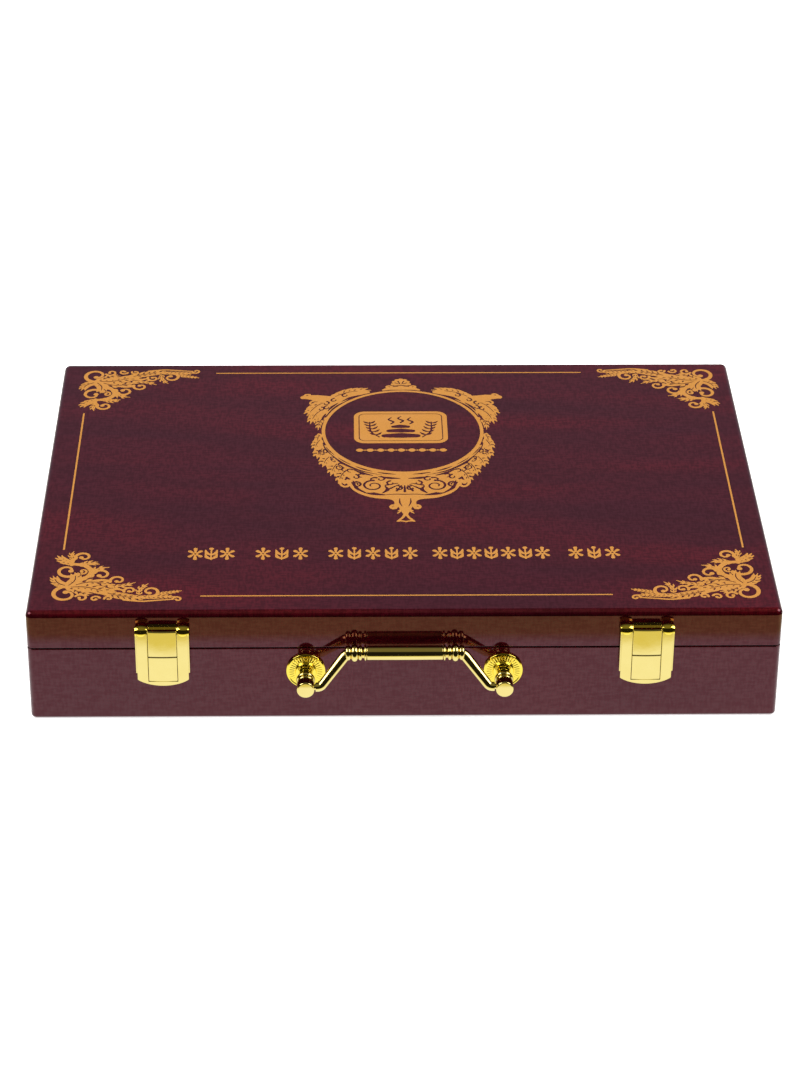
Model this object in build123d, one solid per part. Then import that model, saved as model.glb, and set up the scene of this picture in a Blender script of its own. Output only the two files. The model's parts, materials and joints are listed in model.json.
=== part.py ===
from build123d import *
import math
import os

# Hot stone heater in a lacquered wooden case, millimetres.
# Frame: origin at the centre of the case's underside, +X to the right, +Y to the back, +Z up.
# "out" below is a distance in front of the case's front face.

# ---------------------------------------------------------------- case
CASE_WIDTH = 400.0
CASE_DEPTH = 289.0
CASE_HEIGHT = 66.0
WALL = 9.0
CORNER_ROUND = 3.4
TOP_ROUND = 3.2
FOOT_ROUND = 1.5
SEAM_ROUND = 0.4
BASE_TOP = 43.5
LID_BOTTOM = 44.1
TOP_PANEL = 5.0
BOTTOM_PANEL = 4.0

RIGHT = CASE_WIDTH / 2
BACK = CASE_DEPTH / 2
FRONT = -BACK
IN_X = RIGHT - WALL
IN_Y = BACK - WALL
TOP_PANEL_Z = CASE_HEIGHT - TOP_PANEL

# ---------------------------------------------------------------- inside of the base
DIVIDER_X = 122.0
DIVIDER = 6.0
DIVIDER_TOP = 42.0
INSULATION_END = 112.0
INSULATION_TOP = 10.0
FILM = 0.8
TRAY_BOTTOM = INSULATION_TOP + FILM
TRAY_SHEET = 1.2
TRAY_TOP = 38.0
TRAY_END = 118.0
TRAY_CORNER = 8.0
TRAY_GAP = 0.5
LINER = 2.0
PAD_Y = -34.0
SENSOR_X, SENSOR_Y = 80.0, -16.0
CUTOFF_X, CUTOFF_Y = 40.0, 40.0
SLOT_Y, SLOT_Z = (-42.0, -10.0), (6.0, 13.0)

# ---------------------------------------------------------------- control bay
BAY_X0 = DIVIDER_X + DIVIDER
BAY_MID = (BAY_X0 + IN_X) / 2
BLOCK = 12.0
FASCIA_TOP = 40.0
FASCIA = 3.0
FASCIA_LOW = FASCIA_TOP - FASCIA
BOARD_TOP = 30.6
BOARD = 1.6
BOARD_LOW = BOARD_TOP - BOARD
BOARD_X = (133.0, 186.0)
BOARD_Y = (-45.0, 100.0)
BOSS_INSET = 4.0
WINDOW = (36.0, 18.0)
WINDOW_Y = 55.0
WINDOW_LOW = 38.4
LAMP_Y = 84.0
BUTTONS = {
    "power_button": (BAY_MID, -20.0, 7.0),
    "temp_up_button": (BAY_MID - 13.0, 16.0, 5.5),
    "temp_down_button": (BAY_MID + 13.0, 16.0, 5.5),
}
INLET_Z = 22.0
PIN_HALF_PITCH = 4.3

# ---------------------------------------------------------------- back hinges
HINGE_X = 110.0
HINGE_LENGTH = 45.0
HINGE_AXIS_OUT = 2.9
HINGE_AXIS_Y = BACK + HINGE_AXIS_OUT
HINGE_AXIS_Z = 43.8
KNUCKLE_R = 2.6
HINGE_PIN_R = 1.0
RUNNING = 0.05
BODY_GAP = 0.3
KNUCKLES = 5
LEAF = 1.2
LEAF_REACH = {"base": 19.0, "lid": 14.5}
HINGE_SCREW_R = 1.4

# ---------------------------------------------------------------- front handle
POST_X = 52.5
HANDLE_Z = 30.0
PIVOT_OUT = 17.0
BAIL_REACH = 17.9
BAIL_LEAN = 33.2
GRIP_HALF = 20.0
GRIP_R = 3.9
BAIL_ROD_R = 2.9
BAIL_BEND_X = 30.5
BAIL_EYE_X = 44.6
BAIL_END_X = 47.3
PIVOT_PIN_R = 1.5
ROSETTE_R = 10.4
ROSETTE_TOP = 2.9
POST_CAP_R = 4.65
POST_END = 20.5
HANDLE_SCREW_R = 2.0

# ---------------------------------------------------------------- front latches
LATCH_X = 128.0
HASP_HALF = 14.2
HASP_FACE_HALF = 13.6
HASP_BACK = 5.5
HASP_FRONT = 6.7
HASP_BOTTOM = 23.9
HASP_SIDE_BOTTOM = 28.0
HASP_FLANGE_BOTTOM = 32.0
LATCH_PIN_OUT = 3.5
LATCH_PIN_Z = 56.6
LATCH_PIN_R = 1.0
LATCH_KNUCKLE_R = 3.2
PANEL_HALF = 7.3
PANEL_FRONT = 6.3
PLATE_HALF = 12.7
PLATE = 0.8
PANEL_SPLIT = (41.6, 42.4)
CATCH_BOTTOM = 27.4
LATCH_NAIL_X = 10.2
LATCH_NAIL_R = 0.7
LID_NAIL_Z = 48.5
CATCH_NAIL_Z = 36.0


# ---------------------------------------------------------------- helpers
def block(x, y, z):
    """A box from its low and high corner along each axis."""
    size = [high - low for low, high in (x, y, z)]
    middle = [(high + low) / 2 for low, high in (x, y, z)]
    return Pos(*middle) * Box(*size)


def rod_z(x, y, z, radius):
    return Pos(x, y, (z[0] + z[1]) / 2) * Cylinder(radius, z[1] - z[0])


def rod_x(x, y, z, radius):
    return Pos((x[0] + x[1]) / 2, y, z) * Rot(0, 90, 0) * Cylinder(radius, x[1] - x[0])


def rod_out(x, out, z, radius):
    """A rod along Y between two distances in front of the front face."""
    length = out[1] - out[0]
    return Pos(x, FRONT - (out[0] + out[1]) / 2, z) * Rot(90, 0, 0) * Cylinder(radius, length)


def rod_back(x, y, z, radius):
    return Pos(x, (y[0] + y[1]) / 2, z) * Rot(90, 0, 0) * Cylinder(radius, y[1] - y[0])


def out_block(x, out, z):
    """A box whose depth is given as distances in front of the front face."""
    return block(x, (FRONT - out[1], FRONT - out[0]), z)


def lead(points, radius):
    """A wire along straight runs joined by tangent arcs."""
    runs = [math.dist(a, b) for a, b in zip(points, points[1:])]
    path = FilletPolyline(*points, radius=0.4 * min(runs))
    start = Plane(origin=path @ 0, z_dir=path % 0)
    return sweep(start * Circle(radius), path=path)


def save(name, *solids):
    shape = solids[0] if len(solids) == 1 else Compound(children=list(solids))
    export_step(shape, f"parts/{name}.step")


# ---------------------------------------------------------------- case boards
def rounded_case(z, top_round, bottom_round):
    body = block((-RIGHT, RIGHT), (FRONT, BACK), z)
    body = fillet(body.edges().filter_by(Axis.Z), CORNER_ROUND)
    if top_round:
        body = fillet(body.faces().sort_by(Axis.Z)[-1].edges(), top_round)
    if bottom_round:
        body = fillet(body.faces().sort_by(Axis.Z)[0].edges(), bottom_round)
    return body


def mitre_wedge(side):
    """The plan outline that one board keeps of the frame, cut at 45 degrees at its two corners."""
    over = 5.0
    reach = WALL + 3.0
    x_out, y_out = RIGHT + over, BACK + over
    x_in, y_in = RIGHT - reach, BACK - reach
    if side in ("front", "back"):
        points = [(-x_out, -y_out), (x_out, -y_out), (x_in, -y_in), (-x_in, -y_in)]
        turn = 0 if side == "front" else 180
    else:
        points = [(-x_out, -y_out), (-x_in, -y_in), (-x_in, y_in), (-x_out, y_out)]
        turn = 0 if side == "left" else 180
    return extrude(Rot(0, 0, turn) * make_face(Polyline(*points, close=True)), CASE_HEIGHT + over)


def frame_boards(shell, z):
    frame = shell - block((-IN_X, IN_X), (-IN_Y, IN_Y), (z[0] - 1, z[1] + 1))
    return {side: frame & mitre_wedge(side) for side in ("front", "back", "left", "right")}


def make_case():
    base = frame_boards(rounded_case((0, BASE_TOP), SEAM_ROUND, FOOT_ROUND), (0, BASE_TOP))
    lid = frame_boards(rounded_case((LID_BOTTOM, TOP_PANEL_Z), 0, SEAM_ROUND), (LID_BOTTOM, TOP_PANEL_Z))
    for side in (-1, 1):
        base["front"] -= handle_screw_hole(side)
        base["front"] -= catch_nail_shanks(side)
        lid["front"] -= lid_nail_shanks(side)
        base["back"] -= hinge_screw_shanks(side, "base")
        lid["back"] -= hinge_screw_shanks(side, "lid")
    base["back"] -= inlet_cutout()
    for side, board in base.items():
        save(f"base_{side}_wall", board)
    for side, board in lid.items():
        save(f"lid_{side}_wall", board)
    save("base_bottom_panel", block((-IN_X, IN_X), (-IN_Y, IN_Y), (0, BOTTOM_PANEL)))
    save("lid_top_panel", rounded_case((TOP_PANEL_Z, CASE_HEIGHT), TOP_ROUND, 0))


def make_lid_lining():
    margin = 3.0
    depth = 4.0
    x, y = IN_X - margin, IN_Y - margin
    lining = block((-x, x), (-y, y), (TOP_PANEL_Z - depth, TOP_PANEL_Z))
    lining = fillet(lining.faces().sort_by(Axis.Z)[0].edges(), 1.5)
    save("lid_lining", lining)


# ---------------------------------------------------------------- stone compartment
def make_divider():
    divider = block((DIVIDER_X, BAY_X0), (-IN_Y, IN_Y), (BOTTOM_PANEL, DIVIDER_TOP))
    divider -= block((DIVIDER_X - 1, BAY_X0 + 1), SLOT_Y, SLOT_Z)
    save("compartment_divider", divider)


def sensor_pocket():
    return block((SENSOR_X - 7, SENSOR_X + 9), (SENSOR_Y - 4, SENSOR_Y + 4), (6.0, TRAY_BOTTOM))


def cutoff_pocket():
    return block((CUTOFF_X - 12, CUTOFF_X + 12), (CUTOFF_Y - 7, CUTOFF_Y + 7), (6.0, TRAY_BOTTOM))


def make_heater():
    board = block((-IN_X, INSULATION_END), (-IN_Y, IN_Y), (BOTTOM_PANEL, INSULATION_TOP))
    board -= sensor_pocket()
    board -= cutoff_pocket()
    board -= block((SENSOR_X, INSULATION_END + 1), (SENSOR_Y - 3, SENSOR_Y + 3), (7.0, INSULATION_TOP + 1))
    save("insulation_board", board)

    margin = 8.0
    end = INSULATION_END
    film = block((margin - IN_X, end), (margin - IN_Y, IN_Y - margin), (INSULATION_TOP, TRAY_BOTTOM))
    film += block((end, DIVIDER_X - 1), (PAD_Y - 8, PAD_Y + 8), (9.0, TRAY_BOTTOM))
    film -= sensor_pocket()
    film -= cutoff_pocket()
    save("heating_film", film)

    save("temperature_sensor", rod_x((SENSOR_X - 6, SENSOR_X + 7), SENSOR_Y, TRAY_BOTTOM - 2.0, 2.0))
    cutoff = block((CUTOFF_X - 10, CUTOFF_X + 10), (CUTOFF_Y - 5, CUTOFF_Y + 5), (6.8, TRAY_BOTTOM))
    save("thermal_cutoff", fillet(cutoff.edges().filter_by(Axis.Z), 2.0))


def tray_box(inset, z):
    x = (TRAY_GAP - IN_X + inset, TRAY_END - inset)
    y = (TRAY_GAP - IN_Y + inset, IN_Y - TRAY_GAP - inset)
    return fillet(block(x, y, z).edges().filter_by(Axis.Z), TRAY_CORNER - inset)


def make_tray():
    tray = tray_box(0.0, (TRAY_BOTTOM, TRAY_TOP))
    tray -= tray_box(TRAY_SHEET, (TRAY_BOTTOM + TRAY_SHEET, TRAY_TOP + 1))
    save("stone_tray", tray)
    floor = TRAY_BOTTOM + TRAY_SHEET
    save("tray_liner", tray_box(TRAY_SHEET + 1.0, (floor, floor + LINER)))


# ---------------------------------------------------------------- control bay
def corner_spots():
    inset = BLOCK / 2
    return [(x, y) for x in (BAY_X0 + inset, IN_X - inset) for y in (inset - IN_Y, IN_Y - inset)]


def boss_spots():
    xs = (BOARD_X[0] + BOSS_INSET, BOARD_X[1] - BOSS_INSET)
    ys = (BOARD_Y[0] + BOSS_INSET, BOARD_Y[1] - BOSS_INSET)
    return [(x, y) for x in xs for y in ys]


def make_corner_blocks():
    half = BLOCK / 2
    blocks = []
    for x, y in corner_spots():
        piece = block((x - half, x + half), (y - half, y + half), (BOTTOM_PANEL, FASCIA_LOW))
        blocks.append(piece - rod_z(x, y, (FASCIA_LOW - 9, FASCIA_LOW), 1.2))
    save("fascia_corner_blocks", *blocks)


def display_opening(inset, z):
    half_x, half_y = WINDOW[0] / 2 - inset, WINDOW[1] / 2 - inset
    return block((BAY_MID - half_x, BAY_MID + half_x), (WINDOW_Y - half_y, WINDOW_Y + half_y), z)


def make_fascia():
    gap = 0.4
    ledge = 2.0
    fascia = block((BAY_X0 + gap, IN_X - gap), (gap - IN_Y, IN_Y - gap), (FASCIA_LOW, FASCIA_TOP))
    fascia = fillet(fascia.edges().filter_by(Axis.Z), 2.0)
    fascia = chamfer(fascia.faces().sort_by(Axis.Z)[-1].edges(), 0.5)
    fascia -= display_opening(0.0, (WINDOW_LOW, FASCIA_TOP + 1))
    fascia -= display_opening(ledge, (FASCIA_LOW - 1, FASCIA_TOP))
    for bx, by, radius in BUTTONS.values():
        fascia -= rod_z(bx, by, (FASCIA_LOW - 1, FASCIA_TOP + 1), radius + BODY_GAP)
    fascia -= rod_z(BAY_MID, LAMP_Y, (FASCIA_LOW - 1, FASCIA_TOP + 1), 2.55)
    for bx, by in boss_spots():
        fascia += rod_z(bx, by, (BOARD_TOP, FASCIA_LOW), 3.0)
        fascia -= rod_z(bx, by, (BOARD_TOP - 1, BOARD_TOP + 5), 1.2)
    for cx, cy in corner_spots():
        fascia -= rod_z(cx, cy, (FASCIA_LOW - 1, FASCIA_TOP + 1), 1.6)
        fascia -= screw_head(cx, cy, FASCIA_TOP, 2.8)
    save("control_fascia", fascia)
    save("display_window", display_opening(0.0, (WINDOW_LOW, FASCIA_TOP)))


def screw_head(x, y, top, radius):
    """A countersunk head, flush with the given height."""
    return Pos(x, y, top - radius / 2) * Cone(radius / 2, radius, radius)


def make_fascia_screws():
    screws = []
    for x, y in corner_spots():
        head = screw_head(x, y, FASCIA_TOP, 2.7)
        screws.append(head + rod_z(x, y, (FASCIA_LOW - 9, FASCIA_TOP - 2.0), 1.2))
    save("fascia_screws", *screws)


def make_buttons():
    for name, (x, y, radius) in BUTTONS.items():
        cap = rod_z(x, y, (36.4, 41.4), radius)
        cap = fillet(cap.faces().sort_by(Axis.Z)[-1].edges(), 0.8)
        flange = rod_z(x, y, (35.9, FASCIA_LOW - BODY_GAP), radius + 1.1)
        stem = rod_z(x, y, (35.1, 36.0), 2.0)
        save(name, cap + flange + stem)


def make_board():
    board = block(BOARD_X, BOARD_Y, (BOARD_LOW, BOARD_TOP))
    screws = []
    for x, y in boss_spots():
        board -= rod_z(x, y, (BOARD_LOW - 1, BOARD_TOP + 1), 1.3)
        shank = rod_z(x, y, (BOARD_LOW, BOARD_TOP + 4.5), 1.2)
        screws.append(shank + rod_z(x, y, (BOARD_LOW - 1.5, BOARD_LOW), 2.4))
    save("controller_board", board)
    save("board_screws", *screws)

    save("display_module", block((BAY_MID - 15, BAY_MID + 15), (WINDOW_Y - 7, WINDOW_Y + 7), (BOARD_TOP, 36.8)))
    switches = []
    for x, y, _ in BUTTONS.values():
        body = block((x - 3, x + 3), (y - 3, y + 3), (BOARD_TOP, BOARD_TOP + 2.6))
        switches.append(body + rod_z(x, y, (BOARD_TOP + 2, 34.0), 1.7))
    save("tact_switches", *switches)

    lamp = rod_z(BAY_MID, LAMP_Y, (BOARD_TOP, 41.4), 2.5)
    lamp = fillet(lamp.faces().sort_by(Axis.Z)[-1].edges(), 2.0)
    save("indicator_lamp", lamp + rod_z(BAY_MID, LAMP_Y, (BOARD_TOP, BOARD_TOP + 1), 2.9))

    save("heater_relay", block((163, 182), (-12, 4), (14.0, BOARD_LOW)))
    mains = block((BAY_MID - 9.5, BAY_MID + 9.5), (88, 98), (19.0, BOARD_LOW))
    heater = block((140, 150), (PAD_Y - 9.5, PAD_Y + 9.5), (19.0, BOARD_LOW))
    save("terminal_blocks", mains, heater)


def stadium(half_pitch, radius, y, z):
    """An upright block with round ends, as a two-pole mains socket has."""
    body = block((BAY_MID - half_pitch, BAY_MID + half_pitch), y, (z - radius, z + radius))
    for side in (-1, 1):
        body += rod_back(BAY_MID + side * half_pitch, y, z, radius)
    return body


def inlet_cutout():
    return stadium(PIN_HALF_PITCH, 6.2, (IN_Y - 1, BACK + 1), INLET_Z) + inlet_screw_shanks()


def inlet_screw_spots():
    return [BAY_MID - 15.0, BAY_MID + 15.0]


def inlet_screw_shanks():
    left, right = [rod_back(x, (BACK - 7, BACK), INLET_Z, 1.3) for x in inlet_screw_spots()]
    return left + right


def make_inlet():
    flange = block((BAY_MID - 19, BAY_MID + 19), (BACK, BACK + 1.8), (INLET_Z - 8, INLET_Z + 8))
    flange = fillet(flange.edges().filter_by(Axis.Y), 4.0)
    inlet = flange + stadium(PIN_HALF_PITCH, 6.1, (BACK - 17, BACK), INLET_Z)
    inlet -= stadium(PIN_HALF_PITCH, 4.2, (BACK - 10, BACK + 3), INLET_Z)
    contacts = []
    screws = []
    for side in (-1, 1):
        x = BAY_MID + side * PIN_HALF_PITCH
        inlet -= rod_back(x, (BACK - 18, BACK - 9), INLET_Z, 1.2)
        contacts.append(rod_back(x, (BACK - 20, BACK - 1.5), INLET_Z, 1.2))
    for x in inlet_screw_spots():
        inlet -= rod_back(x, (BACK - 1, BACK + 3), INLET_Z, 1.5)
        head = rod_back(x, (BACK + 1.8, BACK + 3.0), INLET_Z, 2.6)
        screws.append(head + rod_back(x, (BACK - 7, BACK + 2), INLET_Z, 1.3))
    save("power_inlet", inlet)
    save("inlet_contacts", *contacts)
    save("inlet_screws", *screws)


def make_leads():
    mains = []
    heater = []
    sensor = []
    for side in (-1, 1):
        x = BAY_MID + side * PIN_HALF_PITCH
        y_end = BACK - 20
        route = [(x, y_end, INLET_Z), (x, y_end - 9, INLET_Z), (x, y_end - 17, 24.0), (x, 98.0, 24.0)]
        mains.append(lead(route, 1.0))
        y = PAD_Y + side * 4.0
        route = [(DIVIDER_X - 1, y, 10.0), (130.5, y, 10.0), (134.0, y, 24.0), (140.0, y, 24.0)]
        heater.append(lead(route, 0.8))
        y = SENSOR_Y + side * 1.0
        route = [(SENSOR_X + 7, y, TRAY_BOTTOM - 2.0), (136.0, y, TRAY_BOTTOM - 2.0), (136.0, y, BOARD_LOW)]
        sensor.append(lead(route, 0.6))
    save("mains_leads", *mains)
    save("heater_leads", *heater)
    save("sensor_leads", *sensor)


# ---------------------------------------------------------------- back hinges
def knuckle_spans(owner):
    """The stretches of the barrel that belong to one leaf: the base leaf has the outer three of five."""
    length = (HINGE_LENGTH - (KNUCKLES - 1) * BODY_GAP) / KNUCKLES
    first = 0 if owner == "base" else 1
    starts = [-HINGE_LENGTH / 2 + i * (length + BODY_GAP) for i in range(first, KNUCKLES, 2)]
    return [(start, start + length) for start in starts]


def hinge_screw_spots(side, owner):
    reach = LEAF_REACH[owner]
    upward = -1 if owner == "base" else 1
    near, far = (0.48, 0.76)
    x = side * HINGE_X
    places = [(x - 16, far), (x, near), (x + 16, far)]
    return [(px, HINGE_AXIS_Z + upward * reach * share) for px, share in places]


def hinge_screw_shanks(side, owner):
    parts = [rod_back(x, (BACK - 7.5, BACK + 0.1), z, HINGE_SCREW_R) for x, z in hinge_screw_spots(side, owner)]
    return parts[0] + parts[1] + parts[2]


def hinge_screw(x, z):
    head = Pos(x, BACK + LEAF - 0.55, z) * Rot(-90, 0, 0) * Cone(HINGE_SCREW_R, 2.5, 1.1)
    return head + rod_back(x, (BACK - 7.5, BACK + LEAF - 0.8), z, HINGE_SCREW_R)


def hinge_leaf(side, owner):
    upward = -1 if owner == "base" else 1
    middle = side * HINGE_X
    near = HINGE_AXIS_Z + upward * (KNUCKLE_R + BODY_GAP)
    far = HINGE_AXIS_Z + upward * LEAF_REACH[owner]
    half = HINGE_LENGTH / 2
    leaf = block((middle - half, middle + half), (BACK, BACK + LEAF), sorted((near, far)))
    corners = leaf.edges().filter_by(Axis.Y).group_by(Axis.Z)[0 if owner == "base" else -1]
    leaf = fillet(corners, 2.0)
    for start, end in knuckle_spans(owner):
        span = (middle + start, middle + end)
        leaf += block(span, (BACK, BACK + LEAF), sorted((near, HINGE_AXIS_Z)))
        leaf += rod_x(span, HINGE_AXIS_Y, HINGE_AXIS_Z, KNUCKLE_R)
    hole = RUNNING if owner == "lid" else 0.0
    leaf -= rod_x((middle - half - 1, middle + half + 1), HINGE_AXIS_Y, HINGE_AXIS_Z, HINGE_PIN_R + hole)
    for x, z in hinge_screw_spots(side, owner):
        leaf -= rod_back(x, (BACK - 1, BACK + LEAF + 1), z, HINGE_SCREW_R + 0.1)
        leaf -= Pos(x, BACK + LEAF - 0.55, z) * Rot(-90, 0, 0) * Cone(HINGE_SCREW_R + 0.1, 2.6, 1.1)
    return leaf


def make_hinges():
    pins = []
    for side, word in ((-1, "left"), (1, "right")):
        for owner in ("base", "lid"):
            save(f"hinge_{word}_{owner}_leaf", hinge_leaf(side, owner))
        middle = side * HINGE_X
        half = HINGE_LENGTH / 2
        pins.append(rod_x((middle - half, middle + half), HINGE_AXIS_Y, HINGE_AXIS_Z, HINGE_PIN_R))
    save("hinge_pins", *pins)
    for owner in ("base", "lid"):
        spots = hinge_screw_spots(-1, owner) + hinge_screw_spots(1, owner)
        save(f"hinge_{owner}_screws", *[hinge_screw(x, z) for x, z in spots])


# ---------------------------------------------------------------- front handle
def handle_screw_hole(side):
    x = side * POST_X
    return rod_out(x, (-WALL - 1, 1), HANDLE_Z, 2.2) + rod_out(x, (-WALL - 1, -5.5), HANDLE_Z, 4.6)


def turned(profile, x):
    """Turns (radius, out) points about a line square to the front face."""
    face = make_face(Polyline(*[(r, -out) for r, out in profile], close=True))
    upright = Plane(origin=(x, FRONT, HANDLE_Z), x_dir=(1, 0, 0), z_dir=(0, 0, 1))
    return revolve(upright * face, axis=Axis((x, FRONT, HANDLE_Z), (0, 1, 0)))


def rosette(side):
    rim = [(0, 0), (ROSETTE_R, 0), (ROSETTE_R, 1.1), (9.6, 1.9), (8.2, 2.0), (6.6, 2.6), (5.4, ROSETTE_TOP)]
    return turned(rim + [(0, ROSETTE_TOP)], side * POST_X) - rod_out(side * POST_X, (-1, 4), HANDLE_Z, 2.2)


def post(side):
    x = side * POST_X
    neck = [(0, ROSETTE_TOP), (4.6, ROSETTE_TOP), (3.9, 4.0), (3.9, 8.4)]
    bead = [(4.5, 8.8), (4.9, 9.6), (4.9, 10.4), (4.5, 11.2), (3.8, 11.6)]
    collar = [(3.8, 12.2), (4.3, 12.5), (4.3, 13.5), (3.8, 13.8), (3.8, 14.2)]
    cap = [(POST_CAP_R, 14.7), (POST_CAP_R, POST_END - 0.75), (3.9, POST_END), (0, POST_END)]
    body = turned(neck + bead + collar + cap, x)
    body -= rod_out(x, (0, 13.0), HANDLE_Z, HANDLE_SCREW_R + 0.05)
    inner = sorted((side * (POST_X - 6), side * (POST_X - 1.0)))
    return body - rod_x(inner, FRONT - PIVOT_OUT, HANDLE_Z, PIVOT_PIN_R + RUNNING)


def handle_screw(side):
    x = side * POST_X
    return rod_out(x, (-5.5, 12.5), HANDLE_Z, HANDLE_SCREW_R) + rod_out(x, (-8.0, -5.5), HANDLE_Z, 4.0)


def bail_ring(x, radius, half_length):
    """A turned bead on the bail's straight top, rounded at its rim."""
    ring = rod_x((x - half_length, x + half_length), 0, BAIL_REACH, radius)
    return fillet(ring.edges(), 0.6 * half_length)


def upright_bail():
    """The bail standing up, with its pivot axis along X through the origin."""
    route = [
        (-BAIL_END_X, 0, 0),
        (-BAIL_EYE_X, 0, 0),
        (-BAIL_BEND_X, 0, BAIL_REACH),
        (BAIL_BEND_X, 0, BAIL_REACH),
        (BAIL_EYE_X, 0, 0),
        (BAIL_END_X, 0, 0),
    ]
    path = FilletPolyline(*route, radius=(3.2, 6.4, 6.4, 3.2))
    start = Plane(origin=path @ 0, z_dir=path % 0)
    bail = sweep(start * Circle(BAIL_ROD_R), path=path)
    for side in (-1, 1):
        pin = sorted((side * (BAIL_END_X - 1), side * (POST_X - 1.4)))
        bail += rod_x(pin, 0, 0, PIVOT_PIN_R)
        for x, radius, half_length in ((20.75, 4.1, 0.75), (23.2, 3.9, 0.7), (26.2, 4.7, 1.1), (29.2, 3.9, 0.7)):
            bail += bail_ring(side * x, radius, half_length)
    return bail


def make_handle():
    save("handle_rosettes", rosette(-1), rosette(1))
    save("handle_posts", post(-1), post(1))
    save("handle_screws", handle_screw(-1), handle_screw(1))
    place = Pos(0, FRONT - PIVOT_OUT, HANDLE_Z) * Rot(-BAIL_LEAN, 0, 0)
    save("handle_bail", place * upright_bail())
    grip = rod_x((-GRIP_HALF, GRIP_HALF), 0, BAIL_REACH, GRIP_R)
    grip -= rod_x((-GRIP_HALF - 1, GRIP_HALF + 1), 0, BAIL_REACH, BAIL_ROD_R)
    save("handle_grip", place * grip)


# ---------------------------------------------------------------- front latches
def latch_nail_shanks(side, z):
    left, right = [
        rod_out(side * LATCH_X + dx, (-6.0, 0.1), z, LATCH_NAIL_R) for dx in (-LATCH_NAIL_X, LATCH_NAIL_X)
    ]
    return left + right


def catch_nail_shanks(side):
    return latch_nail_shanks(side, CATCH_NAIL_Z)


def lid_nail_shanks(side):
    return latch_nail_shanks(side, LID_NAIL_Z)


def latch_nails(z):
    nails = []
    for side in (-1, 1):
        for dx in (-LATCH_NAIL_X, LATCH_NAIL_X):
            x = side * LATCH_X + dx
            head = rod_out(x, (PLATE, PLATE + 0.6), z, 1.4)
            nails.append(head + rod_out(x, (-6.0, PLATE), z, LATCH_NAIL_R))
    return nails


def centred(half):
    return (-half, half)


def nail_holes(z):
    left, right = [rod_out(dx, (-1, 2), z, LATCH_NAIL_R + 0.05) for dx in (-LATCH_NAIL_X, LATCH_NAIL_X)]
    return left + right


def catch_plate():
    plate = out_block(centred(PLATE_HALF), (0, PLATE), (HASP_FLANGE_BOTTOM, PANEL_SPLIT[0]))
    panel = out_block(centred(PANEL_HALF), (0, PANEL_FRONT), (CATCH_BOTTOM, PANEL_SPLIT[0]))
    panel = fillet(panel.faces().sort_by(Axis.Y)[0].edges(), 0.5)
    return plate + panel - nail_holes(CATCH_NAIL_Z)


def lid_plate():
    low = LID_BOTTOM + 0.5
    plate = out_block(centred(PLATE_HALF), (0, PLATE), (low, LATCH_PIN_Z - LATCH_KNUCKLE_R - 0.6))
    panel = out_block(centred(PANEL_HALF), (0, PANEL_FRONT), (PANEL_SPLIT[1], LATCH_PIN_Z))
    panel -= out_block(centred(PANEL_HALF + 1), (-1, 1.4), (PANEL_SPLIT[1] - 1, low))
    plate += panel
    plate += rod_x(centred(PANEL_HALF), FRONT - LATCH_PIN_OUT, LATCH_PIN_Z, LATCH_KNUCKLE_R)
    plate -= nail_holes(LID_NAIL_Z)
    return plate - rod_x(centred(PANEL_HALF + 1), FRONT - LATCH_PIN_OUT, LATCH_PIN_Z, LATCH_PIN_R)


def hasp():
    """The swinging U of the latch: two side columns with knuckles at the top and a bowed lip at the bottom."""
    low, half = HASP_SIDE_BOTTOM, HASP_FACE_HALF
    outline = Polyline((-half, low), (-half, LATCH_PIN_Z), (half, LATCH_PIN_Z), (half, low))
    bow = ThreePointArc((half, low), (0, HASP_BOTTOM), (-half, low))
    face = Plane.XZ * make_face(outline + bow)
    body = Pos(0, FRONT - HASP_BACK, 0) * extrude(face, HASP_FRONT - HASP_BACK)
    opening = PANEL_HALF + BODY_GAP + 0.2
    body -= out_block(centred(opening), (HASP_BACK - 1, HASP_FRONT + 1), (CATCH_BOTTOM - 0.6, LATCH_PIN_Z + 5))
    for side in (-1, 1):
        column = sorted((side * opening, side * HASP_HALF))
        flange = sorted((side * (PLATE_HALF + BODY_GAP), side * HASP_HALF))
        body += rod_x(column, FRONT - LATCH_PIN_OUT, LATCH_PIN_Z, LATCH_KNUCKLE_R)
        body += out_block(column, (LATCH_PIN_OUT, HASP_FRONT - 0.2), (LATCH_PIN_Z - 4.0, LATCH_PIN_Z))
        body += out_block(flange, (1.2, HASP_FRONT - 0.5), (HASP_FLANGE_BOTTOM, LATCH_PIN_Z))
    return body - rod_x(centred(HASP_HALF + 1), FRONT - LATCH_PIN_OUT, LATCH_PIN_Z, LATCH_PIN_R + RUNNING)


def make_latches():
    pins = []
    for side, word in ((-1, "left"), (1, "right")):
        place = Pos(side * LATCH_X, 0, 0)
        save(f"latch_{word}_catch_plate", place * catch_plate())
        save(f"latch_{word}_lid_plate", place * lid_plate())
        save(f"latch_{word}_hasp", place * hasp())
        pins.append(place * rod_x(centred(HASP_HALF - 0.4), FRONT - LATCH_PIN_OUT, LATCH_PIN_Z, LATCH_PIN_R))
    save("latch_pins", *pins)
    save("latch_catch_nails", *latch_nails(CATCH_NAIL_Z))
    save("latch_lid_nails", *latch_nails(LID_NAIL_Z))


os.makedirs("parts", exist_ok=True)
make_case()
make_lid_lining()
make_divider()
make_heater()
make_tray()
make_corner_blocks()
make_fascia()
make_fascia_screws()
make_buttons()
make_board()
make_inlet()
make_leads()
make_hinges()
make_handle()
make_latches()
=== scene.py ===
import json
from math import atan2, ceil, cos, degrees, dist, exp, hypot, pi, radians, sin, tan

import bmesh
import bpy
import numpy as np
from mathutils import Matrix, Vector
from mathutils.geometry import delaunay_2d_cdt


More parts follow.
